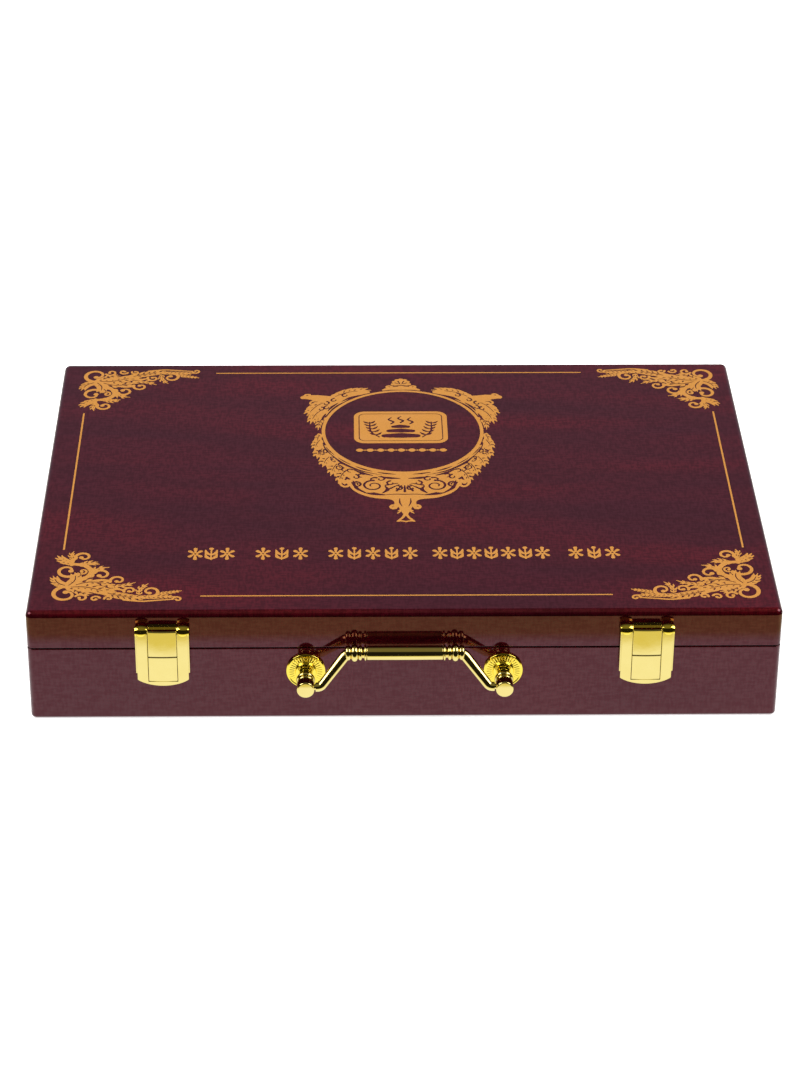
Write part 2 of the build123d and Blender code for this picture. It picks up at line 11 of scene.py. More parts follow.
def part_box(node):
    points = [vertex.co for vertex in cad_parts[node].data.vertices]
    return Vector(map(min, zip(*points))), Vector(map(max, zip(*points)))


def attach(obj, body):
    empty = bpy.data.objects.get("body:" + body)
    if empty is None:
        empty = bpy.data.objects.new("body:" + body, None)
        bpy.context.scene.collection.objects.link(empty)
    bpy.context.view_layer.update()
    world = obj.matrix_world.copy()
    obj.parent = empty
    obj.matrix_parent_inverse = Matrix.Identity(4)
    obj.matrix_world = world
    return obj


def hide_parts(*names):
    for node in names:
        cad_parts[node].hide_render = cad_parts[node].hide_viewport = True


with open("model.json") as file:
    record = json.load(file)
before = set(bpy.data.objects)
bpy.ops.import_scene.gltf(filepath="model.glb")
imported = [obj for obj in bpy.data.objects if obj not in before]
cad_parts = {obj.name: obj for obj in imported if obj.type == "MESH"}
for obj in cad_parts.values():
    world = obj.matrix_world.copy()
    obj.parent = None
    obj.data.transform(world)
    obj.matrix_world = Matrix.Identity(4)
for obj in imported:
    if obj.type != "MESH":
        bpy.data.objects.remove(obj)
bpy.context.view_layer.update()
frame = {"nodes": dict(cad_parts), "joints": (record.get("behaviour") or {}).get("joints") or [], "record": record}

# ================================================================ sizes, in metres
MM = 0.001
JOINTS = {joint["name"]: joint for joint in frame["joints"]}
LID_LOW, LID_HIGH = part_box("lid_top_panel")
FRONT = LID_LOW.y
TOP = LID_HIGH.z
HANDLE_PIVOT = Vector(JOINTS["handle_swing"]["pos_m"])
LATCH_PINS = {side: Vector(JOINTS[f"latch_{side}_swing"]["pos_m"]) for side in ("left", "right")}


# ================================================================ materials
class Nodes:
    """A node tree and short ways to add to it."""

    def __init__(self, tree):
        self.tree = tree

    def add(self, kind, inputs=None, **settings):
        """A node with its settings made, and its inputs set to values or linked to sockets."""
        node = self.tree.nodes.new(kind)
        for key, value in settings.items():
            setattr(node, key, value)
        for key, value in (inputs or {}).items():
            self.put(node.inputs[key], value)
        return node

    def put(self, socket, value):
        if isinstance(value, bpy.types.NodeSocket):
            self.tree.links.new(value, socket)
        elif isinstance(value, tuple) and len(value) == 3 and socket.type == "RGBA":
            socket.default_value = (*value, 1.0)
        else:
            socket.default_value = value

    def math(self, operation, a, b):
        return self.add("ShaderNodeMath", {0: a, 1: b}, operation=operation).outputs["Value"]

    def between(self, factor, low, high, at_low=0.0, at_high=1.0):
        """Maps a factor from low..high to at_low..at_high, held at the ends."""
        ends = {"From Min": low, "From Max": high, "To Min": at_low, "To Max": at_high}
        return self.add("ShaderNodeMapRange", {"Value": factor, **ends}).outputs["Result"]

    def mix(self, factor, a, b):
        return self.add("ShaderNodeMix", {"Factor": factor, 6: a, 7: b}, data_type="RGBA").outputs[2]


class Paint(Nodes):
    """One procedural material: a Principled shader and the nodes that feed it."""

    def __init__(self, name):
        self.material = bpy.data.materials.new(name)
        self.material.use_nodes = True
        super().__init__(self.material.node_tree)
        self.tree.nodes.clear()
        self.shader = self.add("ShaderNodeBsdfPrincipled")
        self.add("ShaderNodeOutputMaterial", {"Surface": self.shader.outputs["BSDF"]})
        self.place = self.add("ShaderNodeTexCoord").outputs["Object"]
        self.normal = None

    def set(self, **values):
        """Sets the shader's sockets: base_color=..., coat_weight=... and so on."""
        for key, value in values.items():
            words = " ".join(word.capitalize() for word in key.split("_"))
            self.put(self.shader.inputs[words.replace("Ior", "IOR")], value)

    def stretch(self, x, y, z, turned=0.0):
        """The object's own coordinates scaled, and turned about Z by some degrees."""
        place = {"Vector": self.place, "Rotation": (0, 0, radians(turned)), "Scale": (x, y, z)}
        return self.add("ShaderNodeMapping", place).outputs["Vector"]

    def noise(self, scale, detail=2.0, rough=0.5, vector=None, distortion=0.0):
        return self.add("ShaderNodeTexNoise", {
            "Vector": vector or self.place, "Scale": scale, "Detail": detail,
            "Roughness": rough, "Distortion": distortion,
        }).outputs["Fac"]

    def waves(self, scale, vector=None, distortion=0.0, direction="X", detail=1.0, detail_scale=1.0):
        return self.add("ShaderNodeTexWave", {
            "Vector": vector or self.place, "Scale": scale, "Distortion": distortion,
            "Detail": detail, "Detail Scale": detail_scale,
        }, bands_direction=direction).outputs["Fac"]

    def cells(self, scale):
        return self.add("ShaderNodeTexVoronoi", {"Vector": self.place, "Scale": scale}).outputs["Distance"]

    def bump(self, height, distance, strength=1.0):
        """Adds fine relief; each call goes on top of the last."""
        inputs = {"Height": height, "Distance": distance, "Strength": strength}
        if self.normal is not None:
            inputs["Normal"] = self.normal
        self.normal = self.add("ShaderNodeBump", inputs).outputs["Normal"]
        self.put(self.shader.inputs["Normal"], self.normal)


def lacquer():
    """Dark red-brown mahogany under a clear gloss lacquer, with a broad swirling figure and fine pores."""
    paint = Paint("lacquered_mahogany")
    slanted = paint.stretch(0.55, 1.5, 1.5, turned=24)
    swirl = paint.noise(5.5, detail=3, rough=0.5, vector=slanted, distortion=1.6)
    bands = paint.waves(5, slanted, distortion=7, direction="Y", detail=2, detail_scale=1.4)
    streaks = paint.noise(55, detail=4, rough=0.6, vector=paint.stretch(0.10, 1.0, 1.0))
    pores = paint.noise(800, detail=1, vector=paint.stretch(0.25, 1.0, 1.0))
    thread = paint.noise(800, detail=1, vector=paint.stretch(1.0, 0.25, 0.25))
    colour = paint.mix(paint.between(swirl, 0.36, 0.64), (0.027, 0.0012, 0.0042), (0.054, 0.0012, 0.0036))
    colour = paint.mix(paint.between(bands, 0.2, 0.9, 0.0, 0.45), colour, (0.020, 0.0008, 0.0026))
    colour = paint.mix(paint.between(streaks, 0.48, 0.72, 0.0, 0.30), colour, (0.056, 0.0024, 0.0048))
    weave = paint.math("ADD", pores, thread)
    colour = paint.mix(paint.between(weave, 0.85, 1.15, 0.0, 0.60), colour, (0.013, 0.0004, 0.0014))
    paint.set(base_color=colour, roughness=0.13, specular_ior_level=0.68, specular_tint=(1.0, 0.04, 0.15))
    paint.set(coat_weight=paint.between(weave, 0.80, 1.20, 1.0, 0.70), coat_roughness=0.03, coat_ior=1.44)
    paint.bump(paint.noise(190, detail=1), 0.000012)
    return paint.material


def bare_wood():
    paint = Paint("bare_plywood")
    grain = paint.noise(45, detail=4, rough=0.6, vector=paint.stretch(0.08, 1.0, 1.0))
    pores = paint.noise(700, detail=2, vector=paint.stretch(0.05, 1.0, 1.0))
    colour = paint.mix(paint.between(grain, 0.35, 0.70), (0.38, 0.22, 0.11), (0.56, 0.37, 0.21))
    colour = paint.mix(paint.between(pores, 0.62, 0.75, 0.0, 0.6), colour, (0.20, 0.11, 0.06))
    paint.set(base_color=colour, roughness=0.62)
    paint.bump(pores, 0.00008)
    return paint.material


def polished_gold(name, dark, light):
    """Bright gold plating over cast zinc: almost a mirror, with a trace of orange peel and handling haze."""
    paint = Paint(name)
    haze = paint.noise(140, detail=3)
    paint.set(base_color=paint.mix(haze, dark, light), metallic=1.0)
    paint.set(roughness=paint.between(haze, 0.35, 0.7, 0.06, 0.13))
    paint.bump(paint.noise(420, detail=2), 0.000010)
    return paint.material


def printed_gold():
    """Gold foil print: a satin metallic ink with a slightly speckled coverage."""
    paint = Paint("printed_gold")
    fleck = paint.noise(1300, detail=2)
    patch = paint.noise(60, detail=2)
    colour = paint.mix(paint.between(fleck, 0.35, 0.7), (0.40, 0.172, 0.030), (0.50, 0.225, 0.044))
    colour = paint.mix(paint.between(patch, 0.4, 0.7, 0.0, 0.5), colour, (0.46, 0.21, 0.050))
    paint.set(base_color=colour, metallic=0.15, roughness=0.45)
    paint.bump(fleck, 0.00001)
    return paint.material


def satin_metal(name, light, dark, roughness, scale):
    paint = Paint(name)
    lines = paint.noise(scale, detail=3, vector=paint.stretch(0.04, 1.0, 1.0))
    spots = paint.noise(90, detail=3)
    paint.set(base_color=paint.mix(lines, dark, light), metallic=1.0)
    paint.set(roughness=paint.between(spots, 0.3, 0.7, roughness, roughness + 0.10))
    paint.bump(lines, 0.000006)
    return paint.material


def pressed_fibre():
    paint = Paint("pressed_fibre_board")
    fibres = paint.noise(500, detail=4, rough=0.7)
    paint.set(base_color=paint.mix(fibres, (0.36, 0.30, 0.22), (0.62, 0.55, 0.44)), roughness=0.95)
    paint.bump(fibres, 0.0003)
    return paint.material


def silicone_sheet():
    paint = Paint("silicone_sheet")
    weave = paint.math("ADD", paint.waves(300, direction="X"), paint.waves(300, direction="Y"))
    paint.set(base_color=paint.mix(paint.noise(40), (0.42, 0.07, 0.025), (0.52, 0.10, 0.035)), roughness=0.55)
    paint.bump(weave, 0.00012)
    return paint.material


def wool_felt():
    """Matted wool: short crossing fibres and a soft edge sheen."""
    paint = Paint("wool_felt")
    fibres = paint.noise(1400, detail=4, rough=0.75, distortion=1.5)
    tufts = paint.noise(160, detail=3)
    colour = paint.mix(fibres, (0.030, 0.027, 0.026), (0.085, 0.078, 0.074))
    colour = paint.mix(paint.between(tufts, 0.35, 0.7, 0.0, 0.4), colour, (0.05, 0.046, 0.044))
    paint.set(base_color=colour, roughness=0.96, sheen_weight=0.5, sheen_roughness=0.6)
    paint.bump(fibres, 0.0004)
    paint.bump(tufts, 0.0005, 0.6)
    return paint.material


def velvet():
    """Short-pile wine velvet, with brushed patches where the pile lies over."""
    paint = Paint("wine_velvet")
    brushed = paint.noise(14, detail=3, rough=0.6, distortion=1.2)
    pile = paint.noise(2400, detail=3, rough=0.7)
    colour = paint.mix(paint.between(brushed, 0.35, 0.68), (0.055, 0.004, 0.009), (0.125, 0.010, 0.020))
    colour = paint.mix(paint.between(pile, 0.3, 0.7, 0.0, 0.6), colour, (0.04, 0.003, 0.006))
    paint.set(base_color=colour, roughness=0.9, sheen_weight=0.85, sheen_roughness=0.35)
    paint.set(sheen_tint=(0.9, 0.25, 0.3))
    paint.bump(pile, 0.00025)
    return paint.material


def moulded_plastic(name, dark, light, roughness, grain=0.00006):
    paint = Paint(name)
    texture = paint.cells(1500)
    paint.set(base_color=paint.mix(paint.noise(120, detail=2), dark, light), roughness=roughness)
    paint.bump(texture, grain)
    return paint.material


def smoked_acrylic():
    paint = Paint("smoked_acrylic")
    smudge = paint.noise(90, detail=3)
    paint.set(base_color=paint.mix(smudge, (0.30, 0.04, 0.04), (0.24, 0.03, 0.03)), ior=1.49)
    paint.set(transmission_weight=0.85, roughness=paint.between(smudge, 0.3, 0.7, 0.03, 0.09))
    return paint.material


def lamp_lens():
    paint = Paint("lamp_lens")
    depth = paint.noise(500, detail=1)
    paint.set(base_color=paint.mix(depth, (0.62, 0.06, 0.02), (0.75, 0.10, 0.04)), roughness=0.12)
    paint.set(transmission_weight=0.5, ior=1.5)
    return paint.material


def circuit_board():
    paint = Paint("circuit_board")
    tracks = paint.waves(150, distortion=2.5, direction="Y")
    weave = paint.math("ADD", paint.waves(900, direction="X"), paint.waves(900, direction="Y"))
    colour = paint.mix(paint.between(tracks, 0.62, 0.70), (0.012, 0.095, 0.035), (0.03, 0.16, 0.065))
    paint.set(base_color=colour, roughness=0.35)
    paint.bump(weave, 0.00002)
    return paint.material


def wire_rubber():
    paint = Paint("wire_insulation")
    colour = paint.mix(paint.noise(200, detail=2), (0.50, 0.46, 0.38), (0.60, 0.56, 0.48))
    paint.set(base_color=colour, roughness=0.5)
    paint.bump(paint.noise(900, detail=2), 0.00004)
    return paint.material


def white_ink():
    paint = Paint("white_ink")
    colour = paint.mix(paint.noise(800, detail=2), (0.62, 0.62, 0.60), (0.74, 0.74, 0.72))
    paint.set(base_color=colour, roughness=0.6)
    return paint.material


MATERIALS = {
    "lacquered_wood": lacquer(),
    "plain_wood": bare_wood(),
    "gold_metal": polished_gold("polished_gold", (0.80, 0.66, 0.225), (0.86, 0.73, 0.28)),
    "steel": satin_metal("zinc_plated_steel", (0.72, 0.72, 0.74), (0.58, 0.58, 0.60), 0.25, 900),
    "insulation": pressed_fibre(),
    "silicone": silicone_sheet(),
    "aluminium_sheet": satin_metal("drawn_aluminium", (0.84, 0.84, 0.85), (0.79, 0.79, 0.81), 0.34, 420),
    "felt": wool_felt(),
    "velvet": velvet(),
    "dark_plastic": moulded_plastic("black_moulding", (0.018, 0.018, 0.019), (0.026, 0.026, 0.028), 0.5),
    "button_plastic": moulded_plastic(
        "button_moulding", (0.16, 0.16, 0.165), (0.19, 0.19, 0.20), 0.34, grain=0.00002
    ),
    "window": smoked_acrylic(),
    "lamp": lamp_lens(),
    "board": circuit_board(),
    "lead_insulation": wire_rubber(),
}
PRINT = printed_gold()
# Painted reflection: a deeper, more saturated copy of the same polished gold plating. Its colour stands in for
# gold mirrored in gold on the rosettes and for a warm reflection on the latch knuckles.
GOLD_PAINTED_REFLECTION = polished_gold("gold_painted_reflection", (0.92, 0.72, 0.085), (0.97, 0.79, 0.13))
INK = white_ink()


def dress_cad_nodes():
    """Every CAD node takes the procedural material of its own slot."""
    slots = {entry["node"]: entry["material_slot"] for entry in frame["record"]["subparts"]}
    for name, node in frame["nodes"].items():
        for slot in node.material_slots:
            slot.material = MATERIALS[slots[name]]


# ================================================================ mesh helpers
def piece(name, meshes, body, slot, nodes=(), sharp=32, flat=False, material=None):
    """One visible piece from (vertices, faces) pairs, riding on a body; flat keeps broad faces flat."""
    bm = bmesh.new()
    for points, faces in meshes:
        corners = [bm.verts.new(p) for p in points]
        for face in faces:
            bm.faces.new([corners[i] for i in face])
    bmesh.ops.remove_doubles(bm, verts=bm.verts, dist=1e-7)
    bmesh.ops.delete(bm, geom=[v for v in bm.verts if not v.link_faces], context="VERTS")
    bmesh.ops.recalc_face_normals(bm, faces=bm.faces)
    mesh = bpy.data.meshes.new(name)
    bm.to_mesh(mesh)
    bm.free()
    mesh.polygons.foreach_set("use_smooth", [True] * len(mesh.polygons))
    mesh.set_sharp_from_angle(angle=radians(sharp))
    mesh.materials.append(material or MATERIALS[slot])
    obj = bpy.data.objects.new(name, mesh)
    bpy.context.scene.collection.objects.link(obj)
    if flat:
        obj.modifiers.new("flat_faces", "WEIGHTED_NORMAL").keep_sharp = True
    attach(obj, body)
    if nodes:
        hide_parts(*nodes)
    return obj


def moved(shape, matrix):
    points, faces = shape
    return [matrix @ Vector(p) for p in points], faces


def round_path(points, radii, steps):
    """A polyline with its inner corners rounded to arcs."""
    points = [Vector(p) for p in points]
    out = [points[0]]
    for before, corner, after, radius in zip(points, points[1:], points[2:], radii):
        if not radius:
            out.append(corner)
            continue
        a, b = (before - corner).normalized(), (after - corner).normalized()
        half = a.angle(b) / 2
        middle = corner + (a + b).normalized() * (radius / sin(half))
        start, end = corner + a * (radius / tan(half)), corner + b * (radius / tan(half))
        u, v = start - middle, end - middle
        turn = u.angle(v)
        for i in range(steps + 1):
            t = i / steps
            out.append(middle + (u * sin((1 - t) * turn) + v * sin(t * turn)) / sin(turn))
    out.append(points[-1])
    return out


def skin(rings):
    """Faces across closed rings with the same number of points, and a cap at each end."""
    count = len(rings[0])
    points = [p for ring in rings for p in ring]
    faces = []
    for i in range(len(rings) - 1):
        for j in range(count):
            a, b = i * count + j, i * count + (j + 1) % count
            faces.append((a, b, b + count, a + count))
    faces.append(tuple(reversed(range(count))))
    faces.append(tuple(range(len(points) - count, len(points))))
    return points, faces


def turned(profile, segments, sunk=lambda radius, height, angle: 0.0):
    """A lathe shape about +Z from (radius, height) points in mm; sunk lowers single points."""
    rings = []
    for radius, height in profile:
        ring = []
        for j in range(segments):
            angle = 2 * pi * j / segments
            z = height - sunk(radius, height, angle)
            ring.append(Vector((radius * cos(angle) * MM, radius * sin(angle) * MM, z * MM)))
        rings.append(ring)
    return skin(rings)


def rounded_profile(points, radii, steps=4):
    path = round_path([(r, h, 0) for r, h in points], radii, steps)
    return [(p.x, p.y) for p in path]


def tube(path, radii, segments):
    """A round bar along a path that lies in the plane square to Y."""
    across = Vector((0, 1, 0))
    rings = []
    for i, point in enumerate(path):
        ahead = path[min(i + 1, len(path) - 1)] - path[max(i - 1, 0)]
        side = across.cross(ahead).normalized()
        ring = []
        for j in range(segments):
            angle = 2 * pi * j / segments
            ring.append(point + (across * cos(angle) + side * sin(angle)) * radii[i])
        rings.append(ring)
    return skin(rings)


def rounded_rectangle(centre, half, radius, steps=6):
    ring = []
    for quarter, (sx, sy) in enumerate(((1, 1), (-1, 1), (-1, -1), (1, -1))):
        cx, cy = centre[0] + sx * (half[0] - radius), centre[1] + sy * (half[1] - radius)
        for i in range(steps + 1):
            angle = pi / 2 * (quarter + i / steps)
            ring.append((cx + radius * cos(angle), cy + radius * sin(angle)))
    return ring


def stepped_block(centre, stations, steps):
    """A block with rounded corners from (half x, half y, corner radius, z) stations, in metres."""
    rings = []
    for half_x, half_y, radius, z in stations:
        outline = rounded_rectangle(centre, (half_x, half_y), radius, steps)
        rings.append([Vector((x, y, z)) for x, y in outline])
    return skin(rings)


def rectangle(left, low, right, high):
    return [(left, low), (right, low), (right, high), (left, high)]


def plate(loops, low, high, bevel):
    """A flat plate with a softened rim from closed outlines in mm; holes are loops inside a loop."""
    curve = bpy.data.curves.new("outline", "CURVE")
    curve.dimensions = "2D"
    curve.fill_mode = "BOTH"
    for loop in loops:
        spline = curve.splines.new("POLY")
        spline.points.add(len(loop) - 1)
        for point, (x, y) in zip(spline.points, loop):
            point.co = (x * MM, y * MM, 0, 1)
        spline.use_cyclic_u = True
    curve.extrude = ((high - low) / 2 - bevel) * MM
    curve.bevel_depth = bevel * MM
    curve.bevel_resolution = 2
    curve.offset = -bevel * MM
    obj = bpy.data.objects.new("outline", curve)
    mesh = bpy.data.meshes.new_from_object(obj)
    lift = (low + high) / 2 * MM
    points = [Vector((v.co.x, v.co.y, v.co.z + lift)) for v in mesh.vertices]
    faces = [tuple(p.vertices) for p in mesh.polygons]
    bpy.data.objects.remove(obj)
    bpy.data.curves.remove(curve)
    bpy.data.meshes.remove(mesh)
    return points, faces


def rotation(angle, axis):
    return Matrix.Rotation(radians(angle), 4, axis)


def out_of_front(x, z=0.0):
    """Places a shape made about +Z so that +Z points out of the front face."""
    return Matrix.Translation((x, FRONT, z)) @ rotation(90, "X")


# ================================================================ front handle
# Millimetres: the widest radius and the length of a post, the bail's reach, and its lean in degrees.
POST_BEAD = 4.9
POST_END = 20.5
BAIL_REACH = 17.9
BAIL_LEAN = 33.2
POST_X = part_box("handle_posts")[1].x / MM - POST_BEAD


def at_both_posts(shape):
    """Two copies of a shape made about +Z, one on the axis of each post."""
    return [moved(shape, out_of_front(side * POST_X * MM, HANDLE_PIVOT.z)) for side in (-1, 1)]


def make_rosettes():
    """A domed backplate under each post, its slope pressed into radial ribs inside a plain bead."""
    ribs, rib_depth, rim, hub = 36, 0.13, 9.3, 5.6
    dome = rounded_profile(
        [(0.01, 0), (10.4, 0), (10.4, 1.4), (9.7, 1.75), (9.2, 1.5), (5.8, 1.6), (5.3, 2.9), (0.01, 2.9)],
        [0.3, 0.4, 0.3, 0.3, 0.3, 0.3],
    )

    def rib(radius, height, angle):
        if height <= 0.5:
            return 0.0
        share = clamped(radius - hub) * clamped((rim - radius) / 0.5)
        return rib_depth * share * abs(cos(ribs * angle / 2))

    shapes = at_both_posts(turned(refined(dome, 0.5), ribs * 6, rib))
    nodes = ["handle_rosettes"]
    # Painted reflection: the rosettes take the deeper gold copy, whose colour stands in for gold mirrored in gold.
    piece("handle_rosettes_ribbed", shapes, "base", "gold_metal", nodes, 60, material=GOLD_PAINTED_REFLECTION)


def clamped(share):
    return min(max(share, 0.0), 1.0)


def refined(profile, step):
    """A profile with extra points, so that no stretch is longer than the step."""
    points = [profile[0]]
    for before, after in zip(profile, profile[1:]):
        count = max(1, ceil(dist(before, after) / step))
        for i in range(1, count + 1):
            points.append(tuple(a + (b - a) * i / count for a, b in zip(before, after)))
    return points


def make_posts():
    """Turned posts: a plain neck, a round bead, a ring and a plain cap."""
    profile = [(0.01, 2.6), (3.9, 2.6), (3.65, 3.2), (3.6, 4.2), (3.6, 8.4)]
    profile += ring_profile(10.0, 3.8, 4.95, 1.4)
    profile += ring_profile(12.9, 3.7, 4.45, 0.8)
    profile += rounded_profile([(3.7, 13.9), (4.65, 14.4), (4.65, POST_END), (0.01, POST_END)], [0.8, 0.7], 6)
    shapes = at_both_posts(turned(profile, 56))
    piece("handle_posts_turned", shapes, "base", "gold_metal", ["handle_posts"], 40)


def ring_profile(at, root, crest, half):
    """A round ring on a turned part: (radius, height) points across it."""
    steps = 12
    points = []
    for i in range(steps + 1):
        angle = pi * i / steps
        points.append((root + (crest - root) * sin(angle) ** 0.8, at - half * cos(angle)))
    return points


def bead(x, radius, half, lift):
    """A round ring on the bail's straight top, about the X axis."""
    profile = [(0.01, -half)] + ring_profile(0.0, 2.7, radius, half) + [(0.01, half)]
    place = Matrix.Translation((x * MM, 0, lift * MM)) @ rotation(90, "Y")
    return moved(turned(profile, 40), place)


def make_handle():
    """The cast bail with its rings, hinged between the posts, and the sleeve round its grip."""
    upright = Matrix.Translation(HANDLE_PIVOT) @ rotation(-BAIL_LEAN, "X")
    eye, end, bend = 44.6, 47.2, 30.5
    half = [(bend, 0, BAIL_REACH), (eye, 0, 0), (end, 0, 0)]
    corners = [(-x, y, z) for x, y, z in reversed(half)] + half
    path = round_path(corners, [3.2, 6.4, 6.4, 3.2], 14)
    radii = []
    for point in path:
        along_arm = clamped((BAIL_REACH - point.z) / BAIL_REACH)
        radii.append((2.9 - 0.45 * max(along_arm * 1.6 - 0.6, 0.0) ** 1.5) * MM)
    shapes = [tube([p * MM for p in path], radii, 28)]
    for side in (-1, 1):
        pin = [Vector((side * x * MM, 0, 0)) for x in (end - 0.4, POST_X - 1.5)]
        shapes.append(tube(pin, [1.5 * MM] * 2, 24))
        for x, radius, half in ((20.9, 4.3, 0.8), (23.6, 4.1, 1.1), (26.6, 4.8, 1.9), (30.0, 4.1, 1.5)):
            shapes.append(bead(side * x, radius, half, BAIL_REACH))
    shapes = [moved(shape, upright) for shape in shapes]
    piece("handle_bail_cast", shapes, "handle", "gold_metal", ["handle_bail"], 50)

    half, radius = 20.0, 3.9
    corners = [(2.6, -half), (radius, -half), (radius + 0.05, 0), (radius, half), (2.6, half)]
    profile = rounded_profile(corners, [0.25, 0, 0.25])
    place = upright @ Matrix.Translation((0, 0, BAIL_REACH * MM)) @ rotation(90, "Y")
    grip = moved(turned(profile, 64), place)
    piece("handle_grip_sleeve", [grip], "handle", "gold_metal", ["handle_grip"], 50)


# ================================================================ front latches
# Millimetres. A half is measured across from the latch's middle, a face, back or front is out from the
# front board, and a bottom, low or high is above the underside of the case. The hasp's face slopes by
# HASP_LEAN, so that it stands further in below HASP_UPRIGHT_AT and further out above it.
HASP_HALF = 14.2
HASP_FACE_HALF = 13.6
HASP_BACK = 5.5
HASP_FRONT = 6.7
HASP_BOTTOM = 23.9
HASP_SIDE_BOTTOM = 28.0
HASP_LEAN = 0.030
HASP_UPRIGHT_AT = 54.0
WINDOW_HALF = 7.8
WINDOW_LOW = 26.8
KNUCKLE_R = 3.2
PANEL_HALF = 7.55
PANEL_FACE = 6.35
PANEL_SOFT = 0.3
PANEL_CROWN = 0.35
CATCH_LOW = 26.95
CATCH_HIGH = 41.85
LID_PANEL_LOW = 42.1
PLATE_HALF = 12.7
PLATE_THICK = 0.8
CATCH_PLATE_LOW = 32.0
LID_PLATE_LOW = 44.6
LID_PLATE_HIGH = 52.8


def hasp_face(pin_z):
    """The U-shaped face of the hasp: two columns joined by a bowed lip, about X 0."""
    steps = 18
    bow = []
    for i in range(steps + 1):
        x = HASP_FACE_HALF * sin(pi / 2 * i / steps)
        drop = (1 - (x / HASP_FACE_HALF) ** 2) ** 0.8
        bow.append((x, HASP_SIDE_BOTTOM - (HASP_SIDE_BOTTOM - HASP_BOTTOM) * drop))
    right = bow + [(HASP_FACE_HALF, pin_z), (WINDOW_HALF, pin_z), (WINDOW_HALF, WINDOW_LOW)]
    return right + [(-x, z) for x, z in reversed(right) if x > 0]


def arc(middle, radius, start, end, steps):
    """Points (out, z) on an arc about a point, angles from straight out of the front, in degrees."""
    angles = [radians(start + (end - start) * i / steps) for i in range(steps + 1)]
    return [(middle[0] + radius * cos(a), middle[1] + radius * sin(a)) for a in angles]


def pressed_bar(x, half, profile, crown, edge=0.35, steps=12):
    """A bar along X from an (out, z) outline in mm; its ends are softened and its face swells."""
    middle = [sum(values) / len(profile) for values in zip(*profile)]
    stations = []
    for i in range(4):
        angle = pi / 2 * i / 3
        stations.append((-half + edge * (1 - cos(angle)), edge * (1 - sin(angle))))
    stations += [(-(half - edge) * cos(pi * i / steps), 0.0) for i in range(1, steps)]
    stations += [(-at, inset) for at, inset in reversed(stations[:4])]
    rings = []
    for at, inset in stations:
        fall = crown * (1 - cos(pi / 2 * min(abs(at) / half, 1.0)))
        ring = []
        for out, z in profile:
            toward = Vector((middle[0] - out, middle[1] - z))
            shift = toward.normalized() * inset
            lift = fall * clamped((out - 3.0) / 3.0)
            ring.append(Vector((x + at * MM, FRONT - (out + shift.x - lift) * MM, (z + shift.y) * MM)))
        rings.append(ring)
    return skin(rings)


def make_hasp(side, pin):
    """The swinging U: a face that leans in toward its lower end, two side walls and two crowned knuckles."""
    pin_z = pin.z / MM
    lean = Matrix.Identity(4)
    lean[2][1], lean[2][3] = HASP_LEAN, -HASP_LEAN * HASP_UPRIGHT_AT * MM
    face = plate([hasp_face(pin_z)], HASP_BACK, HASP_FRONT, 0.35)
    shapes = [moved(face, out_of_front(pin.x) @ lean)]
    low = CATCH_PLATE_LOW
    wall = [(1.2, low + 2.0), (3.2, low), (5.6, low), (6.2, pin_z), (1.2, pin_z)]
    knuckles = []
    for sign in (-1, 1):
        middle, half = sign * (WINDOW_HALF + HASP_HALF) / 2, (HASP_HALF - WINDOW_HALF) / 2
        crown = [(KNUCKLE_R + 0.35 - 0.65 * (i / 5 - 1) ** 2, half * (i / 5 - 1)) for i in range(11)]
        knuckle = turned([(1.1, -half)] + crown + [(1.1, half)], 56)
        place = Matrix.Translation((pin.x + middle * MM, pin.y, pin.z)) @ rotation(90, "Y")
        knuckles.append(moved(knuckle, place))
        shapes.append(pressed_bar(pin.x + sign * HASP_FACE_HALF * MM, 0.6, wall, 0.0, 0.25, 4))
    body, node = f"hasp_{side}", f"latch_{side}_hasp"
    piece(f"{node}_formed", shapes, body, "gold_metal", [node], 40, flat=True)
    # Painted reflection: the knuckles take the deeper gold copy, whose colour stands in for a warm reflection on
    # their tops.
    piece(f"{node}_knuckles", knuckles, body, "gold_metal", [node], 40, material=GOLD_PAINTED_REFLECTION)


def flat_plate(pin, half, low, high, thick=PLATE_THICK):
    """A plate flat against the front board, centred under the pin."""
    return moved(plate([rectangle(-half, low, half, high)], 0.0, thick, 0.2), out_of_front(pin.x))


def make_latch(side):
    """One catch: the hasp, and the fixed panels that it frames on the base and on the lid."""
    pin = LATCH_PINS[side]
    make_hasp(side, pin)

    face, soft = PANEL_FACE, PANEL_SOFT
    catch = [(0.0, CATCH_LOW), (face - soft, CATCH_LOW), (face, CATCH_LOW + soft)]
    catch += [(face, CATCH_HIGH - soft), (face - soft, CATCH_HIGH), (0.0, CATCH_HIGH)]
    shapes = [
        pressed_bar(pin.x, PANEL_HALF, catch, PANEL_CROWN),
        flat_plate(pin, PLATE_HALF, CATCH_PLATE_LOW, CATCH_HIGH),
    ]
    nodes = [f"latch_{side}_catch_plate"]
    piece(f"latch_{side}_catch_panel", shapes, "base", "gold_metal", nodes, 40, flat=True)

    panel = [(1.4, LID_PANEL_LOW), (face - soft, LID_PANEL_LOW), (face, LID_PANEL_LOW + soft), (face, 50.0)]
    panel += arc((face - 0.6, 57.1), 0.6, 0, 90, 5)
    panel += [(3.5, 57.7), (1.3, 57.8), (1.1, 59.4), (0.4, 59.4), (0.3, 56.0), (1.4, 52.0)]
    shapes = [
        pressed_bar(pin.x, PANEL_HALF, panel, PANEL_CROWN),
        flat_plate(pin, PLATE_HALF, LID_PLATE_LOW, LID_PLATE_HIGH),
        flat_plate(pin, PANEL_HALF, LID_PLATE_LOW, 54.0, 2.2),
    ]
    nodes = [f"latch_{side}_lid_plate"]
    piece(f"latch_{side}_lid_panel", shapes, "lid", "gold_metal", nodes, 40, flat=True)


